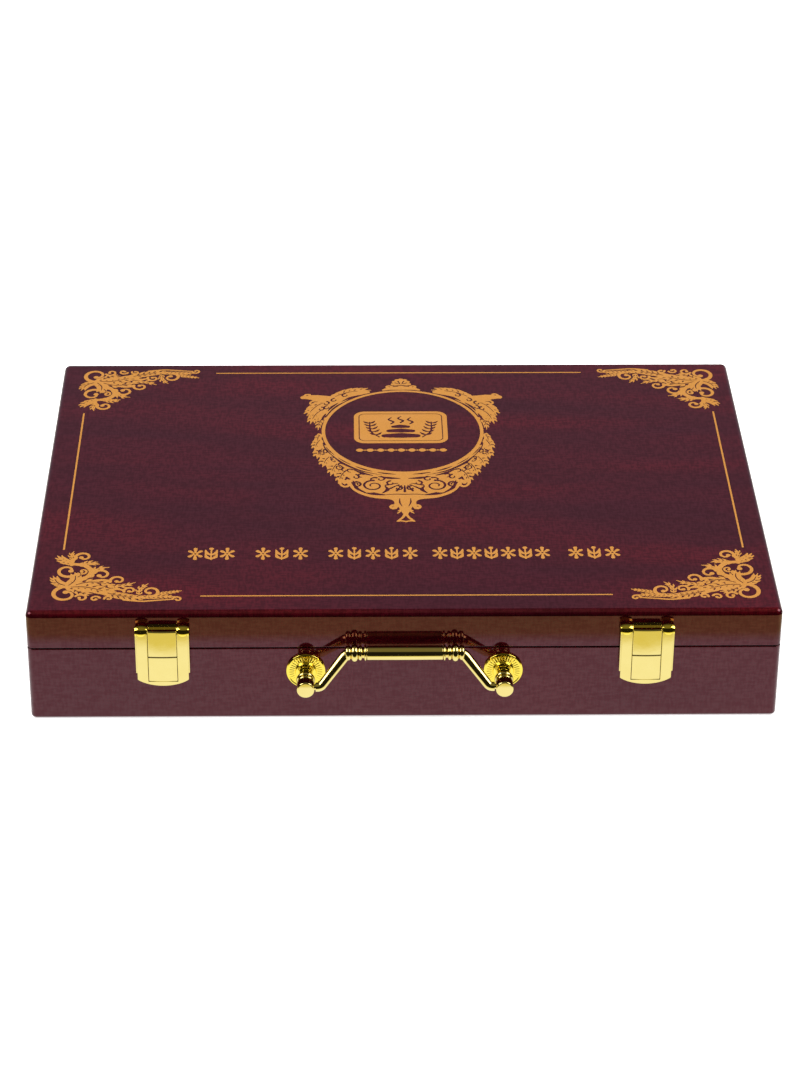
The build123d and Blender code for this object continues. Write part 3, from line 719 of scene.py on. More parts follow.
# ================================================================ gold print on the lid
class Leafwork:
    """Scrollwork drawn as a union of round dabs on a fine grid, with veins cut out of it, in mm."""

    def __init__(self, low, high, pitch=0.3):
        self.low, self.pitch = low, pitch
        self.xs = low[0] + pitch * np.arange(int((high[0] - low[0]) / pitch) + 2)
        self.ys = low[1] + pitch * np.arange(int((high[1] - low[1]) / pitch) + 2)
        self.solid = np.full((len(self.ys), len(self.xs)), 9.0)
        self.veins = np.full((len(self.ys), len(self.xs)), 9.0)

    def dab(self, x, y, radius, cut=False):
        """Adds a round dab, or cuts one out."""
        field = self.veins if cut else self.solid
        reach = radius + 3 * self.pitch
        i0, i1 = [int((x + s * reach - self.low[0]) / self.pitch) for s in (-1, 1)]
        j0, j1 = [int((y + s * reach - self.low[1]) / self.pitch) for s in (-1, 1)]
        i0, j0 = max(i0, 0), max(j0, 0)
        if i1 <= i0 or j1 <= j0:
            return
        across = self.xs[None, i0:i1 + 1] - x
        up = self.ys[j0:j1 + 1, None] - y
        window = field[j0:j1 + 1, i0:i1 + 1]
        np.minimum(window, np.hypot(across, up) - radius, out=window)

    def stroke(self, points, widths, cut=False):
        """A smooth line through the points, its width running through the widths given."""
        path = smooth_line(np.array(points, float))
        radii = np.interp(np.linspace(0, 1, len(path)), np.linspace(0, 1, len(widths)), widths) / 2
        for (x, y), radius in zip(path, radii):
            self.dab(x, y, radius, cut)

    def scroll(self, centre, radius, start, turns, hand, widths, ball):
        """A volute that winds inwards from its outer radius to a ball."""
        angles = radians(start) + hand * np.linspace(0, 2 * pi * turns, 16)
        radii = radius * (1 - 0.72 * np.linspace(0, 1, 16) ** 1.1)
        points = spiral(centre, angles, radii)
        self.stroke(points, widths)
        self.dab(*points[-1], ball)

    def acanthus(self, points, width, lobes, vein=0.6, tip=0.6):
        """A leaf with pointed lobes that sweep forward on both sides of a curved rib."""
        outward, forward = radians(64), radians(18)
        path = smooth_line(np.array(points, float))
        last = len(path) - 1
        self.stroke(points, (width * 0.2, width * 0.24, tip))
        for i in range(lobes):
            share = (i + 0.15) / (lobes + 0.5)
            k = min(max(int(share * last), 1), last - 1)
            ahead = path[k + 1] - path[k - 1]
            heading = atan2(ahead[1], ahead[0])
            reach = width * (0.42 + 0.30 * sin(pi * (0.15 + 0.85 * share))) * (1 - 0.25 * share)
            for side in (-1, 1):
                out, on = heading + side * outward, heading + side * forward
                knee = path[k] + 0.52 * reach * np.array((cos(out), sin(out)))
                end = knee + 0.62 * reach * np.array((cos(on), sin(on)))
                self.stroke([path[k], knee, end], (reach * 0.42, reach * 0.46, tip))
        self.stroke(path[int(last * 0.7)::max(last // 8, 1)], (width * 0.36, width * 0.28, tip))
        if vein:
            inner = path[int(last * 0.10):int(last * 0.80):max(last // 8, 1)]
            self.stroke(inner, (vein, vein * 1.3, vein * 0.8), cut=True)

    def loops(self, symmetric=False):
        """The drawing's outlines, with its left half mirrored to the right if symmetric."""
        solid, veins = self.solid, self.veins
        if symmetric:
            solid, veins = np.minimum(solid, solid[:, ::-1]), np.minimum(veins, veins[:, ::-1])
        return outlines(np.maximum(solid, -veins), self.xs, self.ys)


def spiral(centre, angles, radii):
    """Points about a centre, one for each angle and radius."""
    return [(centre[0] + r * cos(a), centre[1] + r * sin(a)) for a, r in zip(angles, radii)]


def smooth_line(points):
    """Points about 0.25 mm apart along a Catmull-Rom line through the given points."""
    if len(points) == 2:
        count = max(int(dist(*points) / 0.25), 2)
        return points[0] + (points[1] - points[0]) * np.linspace(0, 1, count)[:, None]
    padded = np.vstack([2 * points[0] - points[1], points, 2 * points[-1] - points[-2]])
    parts = []
    for p0, p1, p2, p3 in zip(padded, padded[1:], padded[2:], padded[3:]):
        count = max(int(dist(p1, p2) / 0.25), 2)
        t = np.linspace(0, 1, count, endpoint=False)[:, None]
        square, cube = 2 * p0 - 5 * p1 + 4 * p2 - p3, 3 * p1 - p0 - 3 * p2 + p3
        parts.append(0.5 * ((2 * p1) + (p2 - p0) * t + square * t**2 + cube * t**3))
    return np.vstack(parts + [points[-1:]])


def outlines(field, xs, ys):
    """Closed outlines of where a field is negative, by marching squares."""
    inside = field < 0
    corner = [inside[:-1, :-1], inside[:-1, 1:], inside[1:, 1:], inside[1:, :-1]]
    case = sum(c.astype(int) << k for k, c in enumerate(corner))
    # The cell's sides are 0 bottom, 1 right, 2 top, 3 left; each case lists its (from, to) pairs,
    # with the inside on the left.
    links = {
        1: [(0, 3)], 2: [(1, 0)], 3: [(1, 3)], 4: [(2, 1)], 5: [(0, 3), (2, 1)], 6: [(2, 0)], 7: [(2, 3)],
        8: [(3, 2)], 9: [(0, 2)], 10: [(3, 2), (1, 0)], 11: [(1, 2)], 12: [(3, 1)], 13: [(0, 1)],
        14: [(3, 0)],
    }

    def side_key(j, i, side):
        return {0: ("h", j, i), 1: ("v", j, i + 1), 2: ("h", j + 1, i), 3: ("v", j, i)}[side]

    follows = {}
    for j, i in zip(*np.nonzero((case > 0) & (case < 15))):
        for start, end in links[int(case[j, i])]:
            follows[side_key(int(j), int(i), start)] = side_key(int(j), int(i), end)

    def position(key):
        kind, j, i = key
        j2, i2 = (j, i + 1) if kind == "h" else (j + 1, i)
        f1, f2 = field[j, i], field[j2, i2]
        t = f1 / (f1 - f2)
        return xs[i] + t * (xs[i2] - xs[i]), ys[j] + t * (ys[j2] - ys[j])

    found = []
    while follows:
        key, following = follows.popitem()
        loop = [position(key)]
        while following in follows:
            loop.append(position(following))
            following = follows.pop(following)
        loop = thinned(np.array(loop))
        if len(loop) > 5:
            found.append(loop)
    return found


def thinned(loop):
    """Drops points that lie almost on the line between their neighbours."""
    tolerance = 0.02
    for _ in range(3):
        if len(loop) < 8:
            break
        before, after = np.roll(loop, 1, 0), np.roll(loop, -1, 0)
        chord = after - before
        off = loop - before
        area = np.abs(chord[:, 0] * off[:, 1] - chord[:, 1] * off[:, 0])
        away = area / np.maximum(np.hypot(*chord.T), 1e-9)
        drop = (away < tolerance) & (np.arange(len(loop)) % 2 == 1)
        loop = loop[~drop]
    return [tuple(p) for p in loop]


def corner_motif():
    """The corner spray, its own corner at (0, 0), long arm along +X and short arm along +Y."""
    art = Leafwork((-4, -4), (82, 60))
    # the corner: a large scroll, a heart of leaves and the small volutes under it
    art.scroll((8.2, 8.4), 7.8, 112, 0.95, 1, (2.8, 1.5), 1.7)
    art.stroke([(5.2, 15.6), (11, 17.4), (18, 17.2)], (2.2, 4.6, 3.0))
    art.acanthus([(8, 15.5), (18, 16.0), (28, 12.5), (37, 7.6)], 9.4, 7)
    art.acanthus([(11, 17), (21, 21.0), (31, 19.0), (37, 13.5)], 6.2, 6)
    art.acanthus([(12, 13.5), (17.5, 9.8), (23.5, 8.8)], 5.2, 4)
    art.scroll((17.4, 4.6), 3.7, 150, 0.95, -1, (1.8, 1.2), 1.1)
    art.scroll((25.4, 3.6), 2.9, 20, 0.85, 1, (1.6, 1.1), 1.0)
    art.scroll((33.2, 4.0), 2.5, 190, 0.85, -1, (1.5, 1.0), 0.9)
    # upper edge: volutes that step down towards the long arm
    art.scroll((27.5, 28.5), 5.6, 195, 0.95, -1, (2.3, 1.4), 1.5)
    art.stroke([(11, 18), (16, 24.0), (22.4, 28.0)], (3.6, 3.4, 2.2))
    art.acanthus([(20, 26.0), (24.5, 34.5), (31.5, 36.5)], 5.0, 4, vein=0)
    art.scroll((37.4, 22.6), 4.6, 200, 0.90, -1, (2.0, 1.3), 1.3)
    art.stroke([(22, 21.5), (28, 23.0), (33.2, 22.2)], (2.8, 2.2, 1.7))
    art.acanthus([(33, 17), (40, 16.4), (47.5, 20.4)], 4.6, 4, vein=0)
    art.scroll((45.0, 12.0), 3.6, 200, 0.9, -1, (1.8, 1.2), 1.2)
    art.stroke([(34, 13), (38, 13.4), (41.6, 12.2)], (2.4, 1.8, 1.5))
    # long arm: leaves, a volute with a leaf over it, and a small volute at the end
    art.acanthus([(30, 10.5), (38, 7.2), (47, 4.8), (55, 4.6)], 6.8, 7)
    art.stroke([(42, 2.6), (52, 1.0), (60, 1.8), (69, 2.8)], (1.7, 1.4, 1.3, 1.1))
    art.scroll((56.5, 10.8), 5.3, 280, 0.95, 1, (2.2, 1.3), 1.4)
    art.acanthus([(50.5, 8.0), (50.5, 13.5), (55.0, 19.0)], 4.2, 4, vein=0)
    art.acanthus([(52, 5.0), (62, 5.6), (71, 5.6)], 4.2, 7, vein=0, tip=0.7)
    art.acanthus([(60.5, 8.4), (67, 9.6), (74.5, 11.6)], 3.2, 6, vein=0, tip=0.7)
    art.scroll((72.6, 3.0), 2.7, 180, 0.95, -1, (1.5, 1.1), 0.8)
    # short arm: leaves, a large scroll with a small one inside, and a volute at the end
    art.acanthus([(8.5, 16.5), (12.5, 23), (12.0, 31)], 7.6, 5)
    art.acanthus([(8, 17), (2.8, 20.5), (-0.4, 27.5)], 6.6, 5)
    art.scroll((7.6, 33.0), 7.0, 330, 0.95, -1, (2.6, 1.5), 1.6)
    art.stroke([(9.5, 40.0), (17.0, 38.4), (21.4, 32.0), (18.0, 24.0)], (2.4, 3.2, 3.0, 2.4))
    art.scroll((16.4, 32.2), 2.7, 260, 0.9, 1, (1.5, 1.1), 1.0)
    art.acanthus([(14.0, 38.6), (20.0, 41.0), (25.5, 39.6)], 5.0, 4, vein=0)
    art.stroke([(9.5, 39.0), (9.6, 43.5), (11.6, 46.6)], (2.4, 2.8, 2.0))
    art.acanthus([(9.6, 40.5), (4.6, 43.6), (0.6, 48.6)], 6.2, 4, vein=0, tip=0.9)
    art.scroll((15.8, 47.4), 4.9, 200, 1.0, -1, (2.2, 1.4), 1.4)
    art.acanthus([(9.8, 45.0), (8.4, 49.4), (9.6, 53.4)], 3.8, 3, vein=0)
    return art.loops()


# Half the width and half the height of the oval ring, in mm.
RING_X, RING_Y = 46.0, 50.2


def cartouche_motif():
    """The frame around the oval, about the oval's centre; the left half is drawn and mirrored."""
    art = Leafwork((-70, -111), (70, 73))
    for grow, width, start in ((0.0, 2.0, 0.0), (2.4, 3.8, 1.95)):
        angles = np.linspace(start, pi, 40)
        ring = [(-(RING_X + grow) * sin(a), (RING_Y + grow) * cos(a)) for a in angles]
        art.stroke(ring, (width, width))
    for i in range(4):
        angles = np.linspace(pi - 0.10 - 0.29 * i, pi - 0.31 - 0.29 * i, 8)
        art.stroke([(-48.4 * sin(a), 52.5 * cos(a)) for a in angles], (0.5, 1.5, 0.7), cut=True)
    # crown
    art.stroke([(0, 54.0), (-6, 53.6), (-10.6, 51.6)], (4.6, 3.8, 1.6))
    for i in range(4):
        angle = radians(90 + 29 * i)
        tip = (4.6 * cos(angle), 58.6 + 6.4 * sin(angle))
        art.stroke([(0, 57.0), tip], (2.0, 2.4))
        art.dab(*tip, 1.45)
    art.scroll((-7.4, 55.2), 2.4, 300, 0.85, 1, (1.8, 1.2), 1.1)
    art.stroke([(-4.4, 56.6), (0, 57.6)], (0.7, 0.9), cut=True)
    for tip in ((-1.6, 63.0), (-3.4, 60.8)):
        art.stroke([(tip[0] * 0.3, 59.4), tip], (0.5, 0.9), cut=True)
    # upper spray, from the crown out to the ear
    arm = [(-20, 49), (-30, 46.5), (-38, 40.5), (-44, 34), (-47, 25), (-48.5, 13)]
    art.stroke(arm, (3.0, 7.5, 11, 11, 8.0, 2.5))
    art.acanthus([(-43, 44), (-33, 50.0), (-18, 51.5)], 9.5, 7)
    art.stroke([(-39, 41), (-47, 42.0), (-56, 45.6), (-62.0, 46.4)], (8.5, 10.0, 8.0, 4.6))
    art.scroll((-60.6, 48.8), 3.1, 250, 0.85, -1, (2.2, 1.4), 1.3)
    art.dab(-63.7, 46.6, 2.4)
    art.scroll((-38.5, 47.4), 3.4, 200, 0.9, -1, (1.9, 1.1), 1.1)
    # side acanthus, above the waist of the frame
    art.acanthus([(-47, 38), (-53, 33), (-59.5, 20.5)], 10.5, 5, tip=0.8)
    art.acanthus([(-47, 29), (-52.5, 22), (-57.0, 9.5)], 9.5, 5, tip=0.8)
    art.acanthus([(-46.5, 18), (-49.5, 10), (-50.2, 1.5)], 6.0, 4, tip=0.7)
    art.scroll((-55.4, 37.4), 3.5, 60, 0.9, 1, (2.0, 1.2), 1.1)
    # lower acanthus, wrapped round to the shell
    wrap = [(-47.8, -5), (-49.8, -15), (-48.5, -27), (-43, -40), (-34, -50), (-22, -57), (-10, -61), (0, -62)]
    art.stroke(wrap, (2.0, 5.0, 8.0, 9.5, 10.5, 12.5, 14.5, 16.0))
    leaves = (
        ((-48, -4), (-53.2, -17), 6.5), ((-48.5, -10), (-58.0, -27), 10.0),
        ((-48, -21), (-58.6, -39.5), 11.0), ((-44.5, -32), (-55.0, -51.5), 11.5),
        ((-40, -41), (-47.0, -60.5), 10.5), ((-34, -49), (-39.5, -66.5), 8.0),
    )
    for root, tip, width in leaves:
        middle = ((root[0] + tip[0]) / 2 - 1.2, (root[1] + tip[1]) / 2 + 0.8)
        art.acanthus([root, middle, tip], width, 4, tip=0.8)
    art.scroll((-34.5, -65.5), 3.9, 150, 0.95, 1, (2.3, 1.3), 1.3)
    art.stroke([(-27, -58), (-31.5, -61.5), (-37.5, -63.5)], (4.0, 3.0, 2.2))
    # shell and its two great volutes
    art.stroke([(-24, -64), (-12, -69), (0, -71)], (9.0, 12.0, 14.0))
    art.scroll((-19.0, -67.0), 8.4, 95, 0.95, 1, (3.0, 1.8), 2.4)
    art.scroll((-19.0, -67.0), 4.6, 200, 0.7, 1, (3.4, 2.4), 2.4)
    art.stroke([(-33, -61), (-28, -71.0), (-19, -77.4), (-8, -79.0), (0, -80)], (2.2, 2.4, 2.6, 4.2, 7.0))
    # foot
    art.stroke([(0, -73), (0, -79), (0, -87), (0, -94), (0, -98)], (23.0, 15.0, 10.0, 6.0, 2.4))
    art.stroke([(-5.0, -80), (-4.4, -85), (-5.6, -91.4)], (4.0, 3.2, 1.9))
    art.scroll((-6.0, -89.4), 2.4, 250, 0.85, -1, (2.0, 1.3), 1.2)
    art.acanthus([(0, -88), (-1.6, -93), (-4.4, -97)], 3.6, 3, vein=0, tip=0.8)
    art.stroke([(0, -97), (-1.5, -101.4), (-4.0, -105.4)], (2.0, 1.5, 1.5))
    art.stroke([(0, -106.4), (-2.2, -105.6), (-4.6, -106.0)], (1.4, 1.3, 1.2))
    # openings that let the lacquer through
    upper_slots = (
        [(-25, 45.0), (-30.5, 42.2), (-35.5, 37.6)], [(-38.0, 35.4), (-41.6, 30.6), (-43.8, 25.5)],
        [(-45.2, 21.5), (-46.4, 17.5), (-47.2, 13.5)],
    )
    for line in upper_slots:
        art.stroke(line, (0.8, 2.3, 0.8), cut=True)
    small_curls = (
        (-41.0, 40.2, 1), (-46.6, 36.0, -1), (-34.0, 46.2, 1), (-49.4, 28.6, -1), (-45.0, 30.0, 1),
        (-47.0, -26.5, 1), (-42.8, -38.5, 1), (-35.5, -49.5, 1), (-28.0, -56.0, -1), (-7.6, -62.6, 1),
        (-3.6, -68.6, -1), (-13.5, -57.6, -1),
    )
    for x, y, turn in small_curls:
        angles = pi / 2 + turn * np.linspace(0.2, 1.6 * pi, 10)
        art.stroke(spiral((x, y), angles, np.linspace(2.7, 0.9, 10)), (1.5, 0.8), cut=True)
    large_curls = (
        (-17.5, -65.5, 6.2, 1), (-40.0, -47.5, 3.6, -1), (-51.5, -29.0, 3.4, 1), (-27.5, -64.5, 3.0, -1),
    )
    for x, y, radius, turn in large_curls:
        angles = pi / 2 + turn * np.linspace(0.0, 2.6 * pi, 18)
        art.stroke(spiral((x, y), angles, np.linspace(radius, radius * 0.28, 18)), (1.6, 0.9), cut=True)
    for x, y in ((-17.0, -58.6), (-24.5, -54.6), (-31.5, -49.8), (-37.8, -43.6), (-43.0, -35.8)):
        angles = radians(60) + np.linspace(0.0, 1.2 * pi, 10)
        art.stroke(spiral((x, y), angles, np.linspace(2.6, 1.4, 10)), (1.6, 0.7), cut=True)
    for i in range(4):
        angle = radians(-90 - 24 * i)
        art.stroke(spiral((0.0, -61.5), (angle, angle), (4.0, 11.0)), (0.7, 1.5), cut=True)
    lower_slots = (
        [(-47.2, -17), (-45.6, -24), (-42.4, -30.5)], [(-41.0, -34), (-37.0, -40), (-32.0, -44.6)],
        [(-29.5, -47.4), (-24.0, -51.0), (-18.0, -53.6)], [(-14.5, -55.0), (-8.5, -56.6), (-2.5, -57.2)],
        [(-29.5, -61.0), (-27.4, -68.5), (-21.5, -74.2)], [(-11.0, -66.0), (-9.6, -70.0), (-12.4, -74.0)],
    )
    for line in lower_slots:
        art.stroke(line, (0.8, 2.5, 0.8), cut=True)
    art.stroke([(-14, -76.6), (-6, -75.4), (0, -75.6)], (0.5, 0.8, 0.9), cut=True)
    art.stroke([(-3.0, -80.5), (-3.0, -85), (-1.8, -89)], (0.5, 1.0, 0.5), cut=True)
    return [[drawn_in(x, y) for x, y in loop] for loop in art.loops(symmetric=True)]


def drawn_in(x, y):
    """Draws the side leaves of the frame in towards its oval ring, most of all below the middle."""
    ring_edge = 1.03
    beyond = hypot(x / RING_X, y / RING_Y) - ring_edge
    if beyond <= 0:
        return x, y
    angle = degrees(atan2(y / RING_Y, abs(x) / RING_X))
    lower = exp(-((angle + 22) / 34) ** 4)
    upper = exp(-((angle - 36) / 26) ** 4)
    kept = 1 - 0.50 * lower - 0.24 * upper
    scale = (ring_edge + beyond * kept) / (ring_edge + beyond)
    return x * scale, y * scale


def emblem_motif():
    """A plaque with three stacked pebbles, rising steam and two sprigs, over a small rule of lozenges."""
    art = Leafwork((-32, -34), (32, 24), 0.22)
    half_x, half_y, corner = 27.2, 19.6, 6.5
    inside = rounded_distance(art, half_x, half_y, corner)
    np.minimum(art.solid, inside, out=art.solid)
    line = np.abs(inside + 3.0) - 0.28
    np.minimum(art.veins, line, out=art.veins)
    for y, half, thick in ((-10.6, 9.4, 6.0), (-4.6, 6.8, 5.0), (0.6, 4.2, 4.2)):
        art.stroke([(-half, y), (0, y + 0.4), (half, y)], (thick * 0.66, thick, thick * 0.66), cut=True)
    for x, low in ((-5.6, 4.2), (0.0, 5.6), (5.6, 4.2)):
        steam = [(x, low), (x + 1.5, low + 2.4), (x - 1.3, low + 5.2), (x + 0.4, low + 8.0)]
        art.stroke(steam, (1.1, 1.5, 1.2, 0.6), cut=True)
    for side in (-1, 1):
        art.stroke([(side * 12.6, -12.0), (side * 17.4, -5.0), (side * 18.0, 6.5)], (1.0, 1.1, 0.7), cut=True)
        for share in (0.1, 0.32, 0.54, 0.76, 0.96):
            x, y = 13.2 + 5.0 * share ** 0.6, -11.0 + 16.5 * share
            for reach, rise in ((3.6, 2.4), (-3.2, 3.0)):
                knee = (side * (x + reach * 0.55), y + rise * 0.35)
                tip = (side * (x + reach), y + rise)
                art.stroke([(side * x, y), knee, tip], (0.9, 1.7, 0.5), cut=True)
    rule_y = -28.0
    for i in range(-4, 5):
        x = i * 6.0
        art.stroke([(x - 2.1, rule_y), (x, rule_y), (x + 2.1, rule_y)], (0.5, 3.8, 0.5))
        if i < 4:
            art.dab(x + 3.0, rule_y, 0.65)
    return art.loops()


def rounded_distance(art, half_x, half_y, corner):
    """Distance outside a rounded rectangle about the drawing's origin, negative inside it."""
    x = np.abs(art.xs)[None, :] - (half_x - corner)
    y = np.abs(art.ys)[:, None] - (half_y - corner)
    return np.hypot(np.maximum(x, 0), np.maximum(y, 0)) + np.minimum(np.maximum(x, y), 0) - corner


def band_motif():
    """Five runs of small flowers and upright leaf pairs."""
    art = Leafwork((-122, -10), (122, 10), 0.28)
    runs = ((-117.5, -91.5, 3), (-81.5, -51.0, 3), (-42.0, 8.5, 5), (15.0, 80.0, 7), (88.5, 118.5, 3))
    for start, end, count in runs:
        for i in range(count):
            x = start + (end - start) * (i + 0.5) / count
            if i % 2:
                upright_leaves(art, x)
            else:
                small_flower(art, x)
    return art.loops()


def small_flower(art, x):
    """Six petals round a pierced heart."""
    for angle in range(30, 390, 60):
        across, up = cos(radians(angle)), sin(radians(angle))
        art.stroke([(x + 1.0 * across, 1.2 * up), (x + 3.4 * across, 5.4 * up)], (0.9, 2.2))
    art.dab(x, 0, 1.5)
    art.dab(x, 0, 0.6, cut=True)


def upright_leaves(art, x):
    """A stem with two pairs of leaves and a bud."""
    art.stroke([(x, -6.2), (x, 6.2)], (0.9, 0.9))
    for side in (-1, 1):
        for y in (-5.6, -1.4):
            art.stroke([(x, y), (x + side * 2.4, y + 2.2), (x + side * 3.2, y + 5.6)], (1.0, 2.2, 0.6))
    art.dab(x, 5.4, 1.3)


# Millimetres: how far the whole print sits off the lid's middle, and how thick it is.
PRINT_SHIFT = (1.3, 1.6)
PRINT_THICKNESS = 0.05


def flat_leaf(loops, low, high):
    """A thin sheet, closed all round, from closed outlines in mm; outlines inside outlines are holes."""
    corners, rims = [], []
    for loop in loops:
        rims.append(tuple(range(len(corners), len(corners) + len(loop))))
        corners += [Vector(p) for p in loop]
    edges = [(rim[i - 1], rim[i]) for rim in rims for i in range(len(rim))]
    points, _, triangles, _, _, _ = delaunay_2d_cdt(corners, edges, [], 0, 1e-5)
    centres = np.array([[sum(points[i][axis] for i in face) / 3 for axis in (0, 1)] for face in triangles])
    crossings = np.zeros(len(centres), int)
    for loop in loops:
        ring = np.array(loop)
        ahead = np.roll(ring, -1, 0)
        for (x1, y1), (x2, y2) in zip(ring, ahead):
            spans = (centres[:, 1] < y1) != (centres[:, 1] < y2)
            if y1 != y2:
                meets = x1 + (centres[:, 1] - y1) / (y2 - y1) * (x2 - x1)
                crossings += spans & (centres[:, 0] < meets)
    kept = [face for face, count in zip(triangles, crossings) if count % 2]
    top = [Vector((x * MM, y * MM, high * MM)) for x, y in points]
    bottom = [Vector((x * MM, y * MM, low * MM)) for x, y in points]
    count = len(points)
    faces = [tuple(face) for face in kept] + [tuple(i + count for i in reversed(face)) for face in kept]
    sides = {(face[i - 1], face[i]) for face in kept for i in range(3)}
    faces += [(b, a, a + count, b + count) for a, b in sides if (b, a) not in sides]
    return top + bottom, faces


def print_piece(name, loops, x, y, flip=(1, 1)):
    """One gold print on the lid's top, its lower side just under the lacquer."""
    placed = [[(flip[0] * px + x, flip[1] * py + y) for px, py in loop] for loop in loops]
    top = TOP / MM
    shape = flat_leaf(placed, top - 0.02, top + PRINT_THICKNESS)
    piece(name, [shape], "lid", "gold_metal", material=PRINT)


def make_print():
    """The corner sprays, the framed plaque, the band of flowers and the ruled border."""
    dx, dy = PRINT_SHIFT
    edge_x, edge_y, corner_stretch = 11.2, 9.0, 0.925
    cartouche_y, emblem_y, band_y, border_y = 57.5, 62.0, -83.5, 1.0
    half_x, half_y = LID_HIGH.x / MM - edge_x, LID_HIGH.y / MM - edge_y
    corner = corner_motif()
    for end, sy in (("front", 1), ("back", -1)):
        for side, sx in (("left", 1), ("right", -1)):
            place = (-sx * half_x + dx, -sy * half_y + dy)
            print_piece(f"print_corner_{end}_{side}", corner, *place, (corner_stretch * sx, sy))
    print_piece("print_cartouche", cartouche_motif(), dx + 1.0, cartouche_y)
    print_piece("print_emblem", emblem_motif(), dx, emblem_y)
    print_piece("print_band", band_motif(), dx - 0.8, band_y)
    half_rule, across, along = 0.5, 109.6, 79.5
    bars = [rectangle(-across, y - half_rule, across, y + half_rule) for y in (130.5, -128.8)]
    bars += [rectangle(x - half_rule, -along, x + half_rule, along) for x in (-185.5, 184.3)]
    print_piece("print_border", bars, dx, border_y)


# ================================================================ inside
def make_tray():
    """A drawn aluminium pan: rolled rim, straight sides and a radiused foot."""
    low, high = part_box("stone_tray")
    centre = ((low.x + high.x) / 2, (low.y + high.y) / 2)
    half_x, half_y = (high.x - low.x) / 2, (high.y - low.y) / 2
    radius, sheet, foot = 8.0 * MM, 1.2 * MM, 2.5 * MM
    stations = []

    def station(inset, z):
        stations.append((half_x - inset, half_y - inset, radius - min(inset, radius * 0.7), z))

    for i in range(5):
        angle = pi / 2 * i / 4
        station(foot * (1 - sin(angle)), low.z + foot * (1 - cos(angle)))
    station(0.0, high.z - 0.6 * MM)
    station(0.15 * MM, high.z - 0.15 * MM)
    station(sheet / 2, high.z)
    station(sheet - 0.15 * MM, high.z - 0.15 * MM)
    station(sheet, high.z - 0.6 * MM)
    for i in range(5):
        angle = pi / 2 * (1 - i / 4)
        station(sheet + foot * (1 - sin(angle)), low.z + sheet + foot * (1 - cos(angle)))
    pan = stepped_block(centre, stations, 8)
    piece("stone_tray_drawn", [pan], "base", "aluminium_sheet", ["stone_tray"], 40)


def cloth_grid(low, high, cells, surface):
    """A closed thin sheet over a rectangle: surface(u, v, x, y) gives its upper and lower height."""
    nx, ny = cells
    tops, bottoms = [], []
    for j in range(ny + 1):
        for i in range(nx + 1):
            u, v = i / nx, j / ny
            x, y = low.x + (high.x - low.x) * u, low.y + (high.y - low.y) * v
            upper, lower = surface(u, v, x, y)
            tops.append(Vector((x, y, upper)))
            bottoms.append(Vector((x, y, lower)))
    faces = []
    total = len(tops)
    for j in range(ny):
        for i in range(nx):
            a = j * (nx + 1) + i
            b, c, d = a + 1, a + nx + 2, a + nx + 1
            faces.append((a, b, c, d))
            faces.append((total + d, total + c, total + b, total + a))
    rim = list(range(nx + 1))
    rim += [(j + 1) * (nx + 1) - 1 for j in range(1, ny + 1)]
    rim += [ny * (nx + 1) + i for i in range(nx - 1, -1, -1)]
    rim += [j * (nx + 1) for j in range(ny - 1, 0, -1)]
    for a, b in zip(rim, rim[1:] + rim[:1]):
        faces.append((a, total + a, total + b, b))
    return tops + bottoms, faces


def edge_distance(u, v, size):
    """How far a point of a rectangle is from its nearest edge."""
    return min(u * size[0], (1 - u) * size[0], v * size[1], (1 - v) * size[1])


def make_tray_felt():
    """The felt on the tray's floor: a slight ripple that dies away to soft edges."""
    low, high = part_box("tray_liner")
    size = (high.x - low.x, high.y - low.y)

    def surface(u, v, x, y):
        ripple = 0.00022 * (sin(41 * x + 1.3) * sin(37 * y + 0.4) + sin(90 * x - 60 * y))
        soft = 1 - exp(-edge_distance(u, v, size) / 0.0012)
        return high.z - 0.0001 + (ripple - 0.0004) * soft, low.z + 0.00002

    shape = cloth_grid(low, high, (90, 78), surface)
    felt = piece("tray_felt", [shape], "base", "felt", ["tray_liner"], 60)


def make_lid_lining():
    """A thin velvet pad glued inside the lid: soft edges, a sewn border and a slight swell."""
    low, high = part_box("lid_lining")
    size = (high.x - low.x, high.y - low.y)

    def surface(u, v, x, y):
        distance = edge_distance(u, v, size)
        roll = 0.0030 * (1 - exp(-distance / 0.0022))
        seam = 0.0009 * exp(-((distance - 0.011) / 0.0011) ** 2)
        swell = 0.0005 * sin(pi * u) * sin(pi * v)
        crush = 0.00016 * (sin(70 * x + 20 * y) + sin(55 * y - 33 * x + 1.0))
        return high.z - 0.0001, high.z - 0.0006 - roll - swell - crush + seam

    shape = cloth_grid(low, high, (150, 106), surface)
    pad = piece("lid_velvet_pad", [shape], "lid", "velvet", ["lid_lining"], 60)


def part_ring(cx, cy, radius, width, start, end):
    """Part of a ring as one closed outline in mm, from one angle to another in degrees."""
    steps = 28
    angles = [radians(start + (end - start) * i / steps) for i in range(steps + 1)]
    outer = spiral((cx, cy), angles, [radius + width / 2] * len(angles))
    inner = spiral((cx, cy), angles, [radius - width / 2] * len(angles))
    return outer + inner[::-1]


def middle_of(node):
    """The middle of a node's top, in mm."""
    low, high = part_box(node)
    return (low.x + high.x) / 2 / MM, (low.y + high.y) / 2 / MM, high.z / MM


def ink_piece(name, loops, z, rise, body, slot):
    """A thin white print that rises from a surface at z."""
    piece(name, [plate(loops, z - 0.01, z + rise, 0.0)], body, slot, material=INK)


